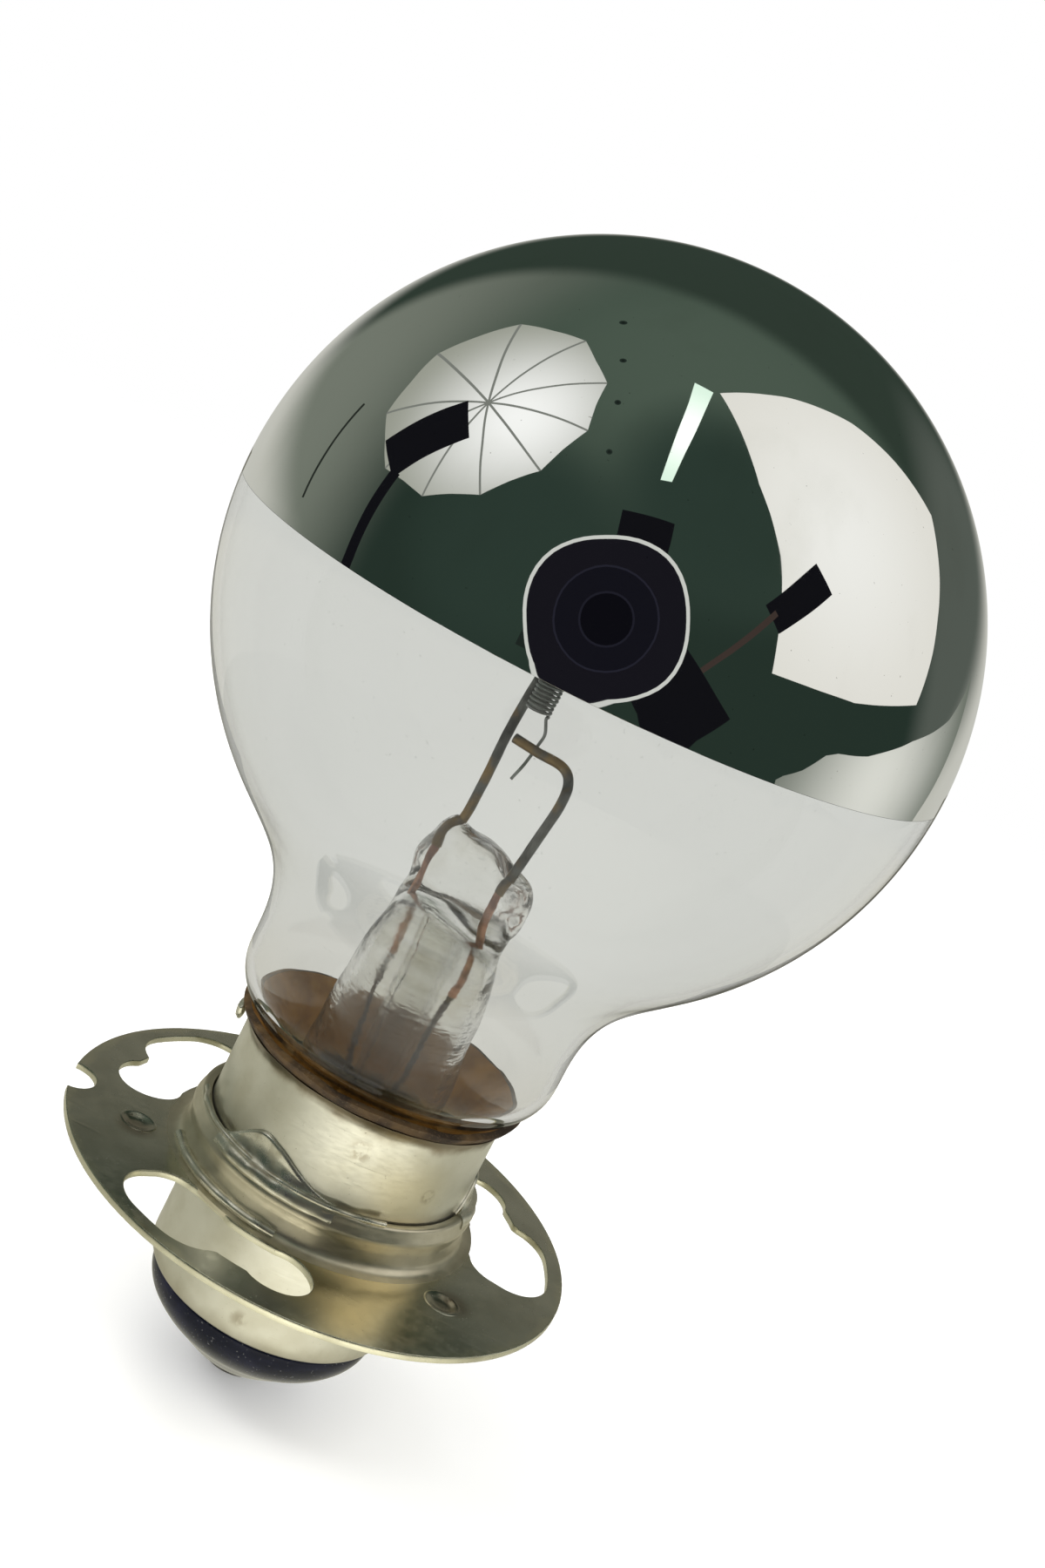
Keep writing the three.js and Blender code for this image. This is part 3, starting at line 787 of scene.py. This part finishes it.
def build_cement(paint):
    """Fills the space between neck and barrel, with a ragged edge above the rim."""
    neck = [p for p in envelope_outline() if NECK_END + 1 < p[1] < 14.0]
    against_glass = inset(neck, 0.03)
    crest = [(12.75, 13.75), (12.5, 13.3), (12.2, 12.95), (SHELL_RIM_R - 0.12, 12.72),
             (11.45, 12.5), (SHELL_R - 0.45, 11.5), (SHELL_R - 0.45, 5.2)]
    profile = against_glass + crest[::-1]

    def ragged(angle, r, z):
        x, y = polar(r, angle)
        edge = smooth_step(11.5, 13.9, z)
        lift = edge * (0.30 * rough((x, y, 0), 4.5, 6) + 0.08 * rough((x, y, 0), 1.4, 7) - 0.2)
        inner_edge = (1 - smooth_step(5, 8, z)) * 1.6 * rough((x, y, 0), 2.5, 9)
        return x, y, z + lift + inner_edge * (z < 8)
    ring = lathe("basing_cement_ring", profile, 240, ragged)
    keep_piece(ring, "cement", (paint["cement"], paint["lining"]), "basing_cement")
    for face in ring.data.polygons:
        outwards = Vector((face.center.x, face.center.y, 0)).normalized()
        if face.normal.dot(outwards) < -0.05 or face.normal.z > 0.75 and face.center.z < 12.5 * MM:
            face.material_index = 1


def slot_edges(start, lobe, end, angle):
    """A slot's inner and outer radius at an angle: three round-ended bands run into each other."""
    last = 19.5
    bands = ((start, lobe, LOBE), (start, end - 2, WAIST), (end - last, end, SEAT))
    inner, outer = [], []
    for first, stop, (least, most) in bands:
        middle = (least + most) / 2
        half = (most - least) / 2
        reach = math.degrees(half / middle)
        over = max(first + reach - angle, angle - (stop - reach), 0)
        if over <= reach:
            rise = half * math.sqrt(1 - (over / reach) ** 2)
            inner.append(middle - rise)
            outer.append(middle + rise)
    return min(inner), max(outer)


def slot_outline(start, lobe, end):
    """Closed outline, clockwise, so that the metal is on its left."""
    steps = 72
    angles = [start + (end - start) * (1 - math.cos(math.pi * i / steps)) / 2 for i in range(steps + 1)]
    edges = [slot_edges(start, lobe, end, a) for a in angles]
    inner = [polar(e[0], a) for e, a in zip(edges, angles)]
    outer = [polar(e[1], a) for e, a in zip(edges, angles)]
    return inner[1:] + outer[-2:0:-1]


def rim_outline():
    """The flange's rim, anticlockwise, with its notch cut into it."""
    centre = Vector(polar(FLANGE_R, NOTCH_ANGLE))
    span = math.degrees(2 * math.asin(NOTCH_R / 2 / FLANGE_R))
    made = [polar(FLANGE_R, NOTCH_ANGLE + span + (360 - 2 * span) * i / 240) for i in range(241)]
    first = Vector(made[-1]) - centre
    turn = math.degrees(first.angle(Vector(made[0]) - centre))
    for i in range(1, 14):
        swing = Matrix.Rotation(math.radians(-turn * i / 14), 2)
        made.append(tuple(centre + swing @ first))
    return made


def build_flange(paint):
    """Stamped plate with rounded edges and dimples, and its drawn collar."""
    outlines = [rim_outline()] + [slot_outline(*slot) for slot in SLOTS]
    collar_foot = [polar(13.3, -3 * i) for i in range(120)]
    rows = ((1, 0), (0.3, 0.3), (0, 1))      # inset and depth of the rounding, in edge widths
    points, faces, worn = [], [], []
    caps = {"top": [], "bottom": []}
    for outline in outlines:
        levels = []
        for side in ("top", "bottom"):
            for shift, depth in rows if side == "top" else rows[::-1]:
                drop = depth * FLANGE_EDGE
                height = FLANGE_THICK - drop if side == "top" else drop
                moved = inset_loop(outline, shift * FLANGE_EDGE)
                levels.append(range(len(points), len(points) + len(moved)))
                points += [(x, y, height) for x, y in moved]
        for pair in zip(levels, levels[1:]):
            worn += range(len(faces), len(faces) + len(outline))
            faces += ribbon(*pair)
        caps["top"].append(levels[0])
        caps["bottom"].append(levels[-1])
    for side, height in (("top", FLANGE_THICK), ("bottom", 0)):
        caps[side].append(range(len(points), len(points) + len(collar_foot)))
        points += [(x, y, height) for x, y in collar_foot]
    for angle in DIMPLE_ANGLES:
        centre = polar(DIMPLE_PITCH, angle)
        rings = []
        for share in (1, 0.94, 0.86, 0.74, 0.6, 0.45, 0.3, 0.15):
            sunk = 0.06 * smooth_step(1, 0.94, share) - DIMPLE_DEPTH * smooth_step(0.94, 0.35, share)
            rings.append(range(len(points), len(points) + 36))
            for i in range(36):
                x, y = polar(DIMPLE_R * share, -10 * i)
                points.append((centre[0] + x, centre[1] + y, FLANGE_THICK + sunk))
        for pair in zip(rings, rings[1:]):
            faces += ribbon(*pair)
        faces.append(list(rings[-1]))
        caps["top"].append(rings[0])
    flat = []
    for side in caps.values():
        loops = [[Vector(points[i]) for i in loop] for loop in side]
        index = [i for loop in side for i in loop]
        for triangle in tessellate_polygon(loops):
            flat.append(len(faces))
            faces.append([index[i] for i in triangle])
    plate = make_object("flange_plate", points, faces)
    for i in flat:
        plate.data.polygons[i].use_smooth = False
    keep_piece(plate, "flange_nickel", (paint["flange"], paint["edge"]), "focus_flange")
    for i in worn:
        plate.data.polygons[i].material_index = 1

    foot = bezier((14.1, FLANGE_THICK + 0.01), (13.3, 0.65), (12.95, 0.9), (12.85, 1.6), 10)
    wall = [(12.74, 2.2), (12.72, 2.7), (12.84, 3.0), (12.88, 3.25), (12.82, 3.5), (12.68, 3.8),
            (12.6, 4.2)]
    lip = bezier((12.55, 4.35), (12.5, 4.58), (12.3, COLLAR_TOP), (12.1, COLLAR_TOP), 6)
    bore = [(11.75, COLLAR_TOP - 0.1), (11.7, 2.6), (11.2, 1.3), (11.2, 0.05), (13.4, 0.02), (14.1, 0.3)]

    def pulled(angle, r, z):
        x, y = polar(r, angle)
        move = 0.06 * rough((x, y, z), 4, 11) * smooth_step(0.8, 2.5, z)
        return (*polar(r + move, angle), z + 0.05 * rough((x, y, 0), 5, 3) * smooth_step(3, 4.4, z))
    collar = lathe("flange_collar", foot + wall + lip + bore, 192, pulled)
    keep_piece(collar, "flange_nickel", paint["collar"], "focus_flange")


def build_collar_solder(paint):
    """A tongue of solder up the barrel at each joint, and thin runs along the collar."""
    spread = 28.0
    lean = 0.28
    rise = 2.35
    edge = 4.72                              # height of the joint beside the tongue
    columns = 64
    for number, centre in enumerate(SOLDER_ANGLES, 1):
        points = []
        for i in range(columns + 1):
            share = -1 + 2 * i / columns
            angle = centre + spread * share
            leaning = share + lean * (1 - share * share)
            swell = ((1 + math.cos(math.pi * leaning)) / 2) ** 0.7
            crest = edge + rise * swell * (1 + 0.10 * rough((share * 3, number, 0), 1.0, number))
            bulge = 0.2 + 0.6 * swell * (1 + 0.5 * rough((share * 5, number, 5), 1.0, number))
            section = [(11.45, 3.4), (11.5, crest - 0.12), (11.62, crest), (11.8, crest - 0.06),
                       (11.9, crest - 0.28), (11.93, 4.75 + 0.55 * (crest - 4.7)),
                       (12.05 + 0.2 * bulge, 4.85), (12.35 + 0.5 * bulge, 4.55),
                       (12.62 + 0.42 * bulge, 4.0), (12.66 + 0.2 * bulge, 3.6), (12.4, 3.3)]
            for r, z in through(section, 3):
                place = polar(r, angle, z)
                low_part = smooth_step(5.6, 4.4, z) * smooth_step(11.8, 12.3, r)
                lump = 0.12 * low_part * rough(place, 1.6, number)
                points.append(polar(r + lump, angle, z + 0.4 * lump))
        faces = closed_tube(columns + 1, len(points) // (columns + 1))
        piece = make_object(f"solder_tongue_{number}", points, faces)
        keep_piece(piece, "solder", paint["solder"], f"collar_solder_{number}")
    runs = (("collar_edge", 192, 300, 12.25, COLLAR_TOP + 0.08, 0.24),
            ("collar_foot", 203, 264, 13.25, FLANGE_THICK + 0.42, 0.42))
    for name, start, end, r, z, half in runs:
        route = []
        for i in range(41):
            angle = start + (end - start) * i / 40
            wander = 0.25 * rough((angle / 9, r, 0), 1.0, 4)
            route.append(polar(r + wander, angle, z + 0.6 * wander))
        run = tube("solder_run_" + name, route, half, 14, 2, 0.0)
        keep_piece(run, "solder", paint["solder"])


def build_rim_solder(paint):
    bead = blob("side_wire_bead", "rim_solder", 0.52, 0.22, 3)
    keep_piece(bead, "solder", paint["solder"], "rim_solder")


def build_insulator(paint):
    cone = through([(10.3, -10.6), (10.35, -11.1), (10.2, -11.9), (9.7, -12.9), (8.7, -14.0),
                    (7.3, -15.1), (5.9, -16.2), (4.8, -17.0), (4.1, CONE_FOOT + 0.1),
                    (3.3, CONE_FOOT)], 5)
    profile = [(0.9, -8.3), (9.6, -8.3), (9.7, -10.3)] + cone + [(0.9, CONE_FOOT)]

    def pressed(angle, r, z):
        x, y = polar(r, angle)
        return (*polar(r + 0.06 * rough((x, y, z), 4, 12), angle), z)
    piece = soften(lathe("vitreous_insulator", profile, 144, pressed), 0.1)
    keep_piece(piece, "black_glass", paint["black"], "insulator_cone")

    rim = bezier((3.1, -17.7), (3.1, -18.2), (2.9, CONTACT_FACE), (2.2, CONTACT_FACE), 10)
    disc = [(1.15, -17.7)] + rim + [(1.3, CONTACT_FACE), (1.15, CONTACT_FACE + 0.12)]
    contact = soften(lathe("centre_contact_plate", disc, 96), 0.04)
    keep_piece(contact, "contact_brass", paint["contact"], "centre_contact")

    pip = blob("contact_pip", "contact_solder", 0.5, 0.12, 5)
    keep_piece(pip, "solder", paint["solder"], "contact_solder")


# ---------------------------------------------------------------- camera and studio

CAMERA_PLACE = Vector((0, -147.42, 74.6)) * MM
CAMERA_RIGHT = Vector((0.8942, 0.1027, 0.4358))
CAMERA_UP = Vector((-0.4477, 0.2089, 0.8694))
CAMERA_LENS = 43.23
CAMERA_SENSOR = 36
GLOBE_PLACE = Vector((0, 0, CENTRE)) * MM
LIGHT_DISTANCE = 0.7                         # metres, as are the distances of the cards
NEAR_BARS = 0.4
BLACK = (0.006, 0.006, 0.008)
CAMERA_BLACK = (0.009, 0.0085, 0.0125)
STRAP = (0.62, 0.63, 0.60)
WALL = (0.026, 0.044, 0.034)


def build_camera():
    """The lamp leans to the left and away, so the camera is rolled about its view."""
    back = CAMERA_RIGHT.cross(CAMERA_UP).normalized()
    data = bpy.data.cameras.new("camera")
    data.lens = CAMERA_LENS
    data.sensor_width = CAMERA_SENSOR
    data.clip_start = 0.005
    camera = bpy.data.objects.new("camera", data)
    rows = Matrix((CAMERA_RIGHT.normalized(), CAMERA_UP.normalized(), back)).transposed()
    camera.matrix_world = Matrix.Translation(CAMERA_PLACE) @ rows.to_4x4()
    bpy.context.scene.collection.objects.link(camera)
    bpy.context.scene.camera = camera


def studio_way(right, up, back):
    """A direction from the globe, told in the camera's axes."""
    axes = (CAMERA_RIGHT, CAMERA_UP, CAMERA_RIGHT.cross(CAMERA_UP))
    return sum((a * s for a, s in zip(axes, (right, up, back))), Vector()).normalized()


def studio_place(way, distance):
    return GLOBE_PLACE + studio_way(*way) * distance


def world_look():
    """White for the eye and for diffuse light, greyer through glass, and a dim studio in mirrors."""
    world = bpy.data.worlds.new("studio")
    bpy.context.scene.world = world
    nodes = Nodes(world, "Generated")
    path = nodes.node("LightPath", {}).outputs
    up = Vector((0, 0, 1))

    def lobe(before, direction, start, end, colour):
        """Paints a soft patch round a direction, between two cosines of the angle to it."""
        along = nodes.node("VectorMath", {"operation": "DOT_PRODUCT"}, i0=nodes.coordinates, i1=direction)
        return nodes.mix(nodes.ramp(along.outputs["Value"], start, end), before, colour)

    room = lobe((0.020, 0.034, 0.026), up, 0.35, 1.0, (0.075, 0.105, 0.080))
    room = lobe(room, studio_way(-0.40, 0.30, 0.85), 0.80, 0.97, WALL)
    room = lobe(room, studio_way(0.52, 0.45, 0.72), 0.80, 0.97, WALL)
    room = lobe(room, Vector((-0.8, 0.6, 0)), 0.5, 1.0, (0.18, 0.20, 0.165))
    room = lobe(room, studio_way(0.35, 0.45, -0.85), 0.70, 0.80, (0.030, 0.045, 0.034))
    room = lobe(room, studio_way(0.85, 0.0, -0.75), 0.85, 0.95, (0.09, 0.105, 0.09))
    room = lobe(room, Vector((0, 0.41, -0.91)), 0.16, 0.42, (0.55, 0.55, 0.50))
    room = lobe(room, -up, 0.19, 0.24, (0.66, 0.64, 0.54))
    through_glass = lobe((0.66, 0.665, 0.64), up, 0.30, 0.75, (0.16, 0.18, 0.15))
    look = nodes.mix(path["Is Glossy Ray"], (1.0, 1.0, 1.0), room)
    look = nodes.mix(path["Is Transmission Ray"], look, through_glass)
    nodes.feed(nodes.tree.nodes["Background"].inputs["Color"], look)


def glow_material(name, centre, reach, inner, outer):
    """Light of one colour at a card's centre and another at its edge, unseen through glass."""
    made = bpy.data.materials.new(name)
    nodes = Nodes(made)
    nodes.tree.nodes.remove(nodes.tree.nodes["Principled BSDF"])
    colour = nodes.mix(nodes.ramp(nodes.distance(centre), 0.0, reach), inner, outer)
    glow = nodes.node("Emission", {}, Color=colour).outputs[0]
    clear = nodes.node("BsdfTransparent", {}).outputs[0]
    through_glass = nodes.node("LightPath", {}).outputs["Is Transmission Ray"]
    seen = nodes.node("MixShader", {}, i0=through_glass, i1=glow, i2=clear).outputs[0]
    nodes.feed(nodes.tree.nodes["Material Output"].inputs["Surface"], seen)
    return made


def stage_mesh(name, points, faces, made):
    """A stage piece that only reflections show."""
    mesh = bpy.data.meshes.new(name)
    mesh.from_pydata(points, [], faces)
    mesh.materials.append(made)
    card = bpy.data.objects.new(name, mesh)
    bpy.context.scene.collection.objects.link(card)
    for flag in ("camera", "diffuse", "transmission", "shadow"):
        setattr(card, "visible_" + flag, False)


def stage_card(name, ways, inner, outer, distance, hot=None):
    """A card whose corners lie in these directions from the globe; hot is its brightest one."""
    points = [studio_place(way, distance) for way in ways]
    middle = sum(points, Vector()) / len(points) - GLOBE_PLACE
    middle = GLOBE_PLACE + middle.normalized() * distance
    bright = studio_place(hot, distance) if hot else middle
    faces = [[len(points), i, (i + 1) % len(points)] for i in range(len(points))]
    reach = max((p - bright).length for p in points)
    stage_mesh(name, [*points, middle], faces, glow_material(name, bright, reach, inner, outer))


def stage_bar(name, start, end, half, distance, colour=BLACK):
    """A dark bar between two directions, such as a lamp head or its stand."""
    ends = [studio_place(way, distance) for way in (start, end)]
    side = (ends[1] - ends[0]).cross(ends[0] - GLOBE_PLACE).normalized() * half * distance
    points = [ends[0] - side, ends[0] + side, ends[1] + side, ends[1] - side]
    stage_mesh(name, points, [[0, 1, 2, 3]], glow_material(name, ends[0], 1.0, colour, colour))


def ring_ways(centre, reach, count, scallop=0.0, power=2.0):
    """Directions round a centre direction: a circle, or a squarer loop for a higher power."""
    axis = Vector(centre).normalized()
    side = axis.cross(Vector((0, 1, 0.3))).normalized()
    other = side.cross(axis)
    ways = []
    for i in range(count):
        x, y = polar(1, 360 * i / count)
        round_off = (abs(x) ** power + abs(y) ** power) ** (-1 / power)
        size = reach * round_off * (1 - scallop * abs(math.sin(math.pi * i / 4)))
        ways.append(axis + side * x * size + other * y * size)
    return ways


def build_umbrella():
    """A lamp umbrella with ten gores and dark ribs, and its lamp head on a stand."""
    centre = Vector((-0.42, 0.83, 0.36)).normalized()
    edge = ring_ways(centre, 0.50, 40, 0.06)
    stage_card("umbrella", edge, (1.0, 1.0, 0.99), (0.34, 0.35, 0.30), 0.8, (-0.32, 0.80, 0.50))
    for rib, way in enumerate(edge[::4]):
        stage_bar(f"umbrella_rib_{rib}", centre, way, 0.005, 0.78, (0.20, 0.21, 0.19))
    stage_bar("umbrella_head", (-0.76, 0.60, 0.24), (-0.50, 0.77, 0.40), 0.10, NEAR_BARS)
    stage_bar("umbrella_stand", (-0.76, 0.57, 0.32), (-0.94, 0.20, 0.25), 0.03, NEAR_BARS)
    stage_bar("side_stand", (-0.70, 0.70, -0.14), (-0.89, 0.42, -0.17), 0.008, NEAR_BARS,
              (0.02, 0.025, 0.02))


def build_ceiling_spots():
    """A row of small dark fittings on the ceiling."""
    for number, way in enumerate(((0.09, 1.0, 0.03), (0.09, 0.96, 0.28), (0.07, 0.86, 0.51),
                                  (0.03, 0.70, 0.72))):
        stage_card(f"ceiling_spot_{number}", ring_ways(way, 0.014, 12), (0.008, 0.012, 0.01),
                   (0.02, 0.03, 0.024), 0.9)


def build_studio_camera():
    """A plain dark camera with a lens and a pale neck strap, where the viewer stands."""
    centre = (0.01, -0.03, 1.0)
    body = 0.385
    stage_card("studio_camera", ring_ways(centre, body, 32, 0, 3), CAMERA_BLACK, CAMERA_BLACK, 0.6)
    for reach, tone in ((0.25, 0.018), (0.24, 0.007), (0.13, 0.014), (0.12, 0.004)):
        colour = (tone, tone, tone * 1.6)
        distance = 0.55 + 0.1 * reach        # each ring lies in front of the wider one
        stage_card(f"studio_lens_{reach}", ring_ways(centre, reach, 32), colour, colour, distance)
    loops = ring_ways(centre, body + 0.02, 48, 0, 2.5) + ring_ways(centre, body, 48, 0, 2.5)
    points = [studio_place(way, 0.55) for way in loops]
    faces = [[i, (i + 1) % 48, 48 + (i + 1) % 48, 48 + i] for i in range(48)]
    stage_mesh("studio_strap", points, faces, glow_material("studio_strap", points[0], 1.0, STRAP, STRAP))
    stage_bar("studio_viewfinder", (0.17, 0.30, 0.94), (0.20, 0.43, 0.88), 0.12, 0.6)
    stage_bar("studio_tripod", (0.24, -0.26, 0.94), (0.42, -0.55, 0.74), 0.17, 0.62)
    stage_bar("studio_case", (-0.22, 0.02, 0.97), (-0.32, -0.18, 0.93), 0.10, 0.9, (0.014, 0.020, 0.017))
    stage_bar("second_head", (0.71, -0.01, 0.70), (0.87, 0.16, 0.47), 0.07, NEAR_BARS)
    stage_bar("second_arm", (0.43, -0.25, 0.87), (0.73, 0.03, 0.67), 0.014, NEAR_BARS, (0.05, 0.035, 0.03))


def build_cards():
    """The white reflector, a strip light and the edge of the table, as the mirror shows them."""
    reflector = [(0.44, 0.84, 0.32), (0.55, 0.70, 0.46), (0.63, 0.54, 0.56), (0.70, 0.38, 0.61),
                 (0.73, 0.25, 0.63), (0.74, 0.0, 0.66), (0.72, -0.24, 0.66), (0.86, -0.26, 0.2),
                 (0.95, -0.20, -0.22), (0.94, 0.06, -0.30), (0.86, 0.32, -0.38), (0.76, 0.62, -0.12)]
    stage_card("reflector", reflector, (0.92, 0.91, 0.88), (0.80, 0.78, 0.73), 0.6)
    strip = [(0.35, 0.88, 0.31), (0.42, 0.85, 0.32), (0.30, 0.575, 0.76), (0.25, 0.585, 0.77)]
    stage_card("strip_light", strip, (1.2, 1.3, 1.2), (0.8, 1.0, 0.85), 1.1)
    table = [(0.70, -0.61, 0.37), (0.78, -0.56, 0.29), (0.84, -0.48, 0.22), (0.87, -0.46, 0.16),
             (0.91, -0.42, -0.03), (0.91, -0.29, -0.31), (0.80, -0.15, -0.58), (0.69, -0.02, -0.73),
             (0.66, -0.34, -0.67), (0.78, -0.58, -0.24), (0.78, -0.62, 0.08), (0.66, -0.70, 0.28)]
    stage_card("table_edge", table, (0.74, 0.74, 0.69), (0.16, 0.18, 0.15), 0.9, (0.86, -0.46, -0.18))


def build_surroundings_of_cap():
    """A bright table under the cap and a low grey screen behind it, too low for the mirror to see."""
    level = CAP_TIP * MM
    points = [Vector((*polar(0.12, 10 * i), level)) for i in range(36)]
    made = glow_material("table_glow", Vector((0.03, -0.08, level)), 0.10, (1.75, 1.70, 1.46),
                         (0.48, 0.47, 0.38))
    stage_mesh("table_glow", points, [list(range(36))], made)
    heights = (-0.01, 0.046)
    posts = 19
    points = [Vector((*polar(0.075, 45 + 5 * i), height)) for i in range(posts) for height in heights]
    faces = [[i, i + 1, i + 3, i + 2] for i in range(0, 2 * posts - 2, 2)]
    made = glow_material("low_backdrop", points[17], 0.3, (0.19, 0.185, 0.15), (0.15, 0.15, 0.12))
    stage_mesh("low_backdrop", points, faces, made)


def build_lights():
    """Two soft lights: the umbrella's from above on the left, and a weaker one on the right."""
    for name, way, power, size in (("key", (-0.36, 0.87, 0.34), 3.2, 0.35),
                                   ("fill", (0.85, 0.2, 0.4), 1.6, 0.5)):
        data = bpy.data.lights.new(name, "AREA")
        data.energy = power
        data.size = size
        light = bpy.data.objects.new(name, data)
        light.location = studio_place(way, LIGHT_DISTANCE)
        light.rotation_euler = studio_way(*way).to_track_quat("Z", "Y").to_euler()
        light.visible_glossy = False
        light.visible_transmission = False
        bpy.context.scene.collection.objects.link(light)


def build_floor():
    """A pale floor that fades into the pale surroundings and is seen only from above."""
    reach = 600
    rings = 24
    sectors = 64
    level = CAP_TIP - 0.02
    points = [(0, 0, level)]
    for ring in range(1, rings + 1):
        radius = reach * (ring / rings) ** 1.5
        points += [polar(radius, 360 * i / sectors, level) for i in range(sectors)]
    faces = []
    for i in range(sectors):
        j = (i + 1) % sectors
        faces.append([0, 1 + i, 1 + j])
        for here in range(1, 1 + (rings - 1) * sectors, sectors):
            there = here + sectors
            faces.append([here + i, there + i, there + j, here + j])
    floor = make_object("floor", points, faces)
    if floor.data.polygons[0].normal.z < 0:
        floor.data.flip_normals()
    paint = Paint("pale_floor")
    grain = paint.noise(6, 4)
    paint.set(Base_Color=paint.mix(grain, (0.80, 0.80, 0.79), (0.84, 0.84, 0.83)), Roughness=0.9)
    paint.set(Emission_Color=(1.0, 1.0, 0.99), Emission_Strength=0.22)
    fade = paint.ramp(paint.radius(), 0.10, 0.9 * reach * MM, 1.0, 0.0)
    under = paint.node("NewGeometry", {}).outputs["Backfacing"]
    paint.set(Alpha=paint.times(fade, paint.math("SUBTRACT", 1.0, under)))
    floor.data.materials.append(paint.material)
    floor.visible_glossy = False
    floor.visible_transmission = False


# ---------------------------------------------------------------- the whole scene

def build_scene():
    build_camera()
    paint = make_materials()
    for build in (build_envelope, build_stem, build_leads, build_filament, build_barrel, build_cement,
                  build_flange, build_collar_solder, build_rim_solder, build_insulator):
        build(paint)
    for build in (build_floor, world_look, build_umbrella, build_ceiling_spots, build_studio_camera,
                  build_cards, build_surroundings_of_cap, build_lights):
        build()
    bpy.context.scene.view_settings.view_transform = "Standard"


build_scene()
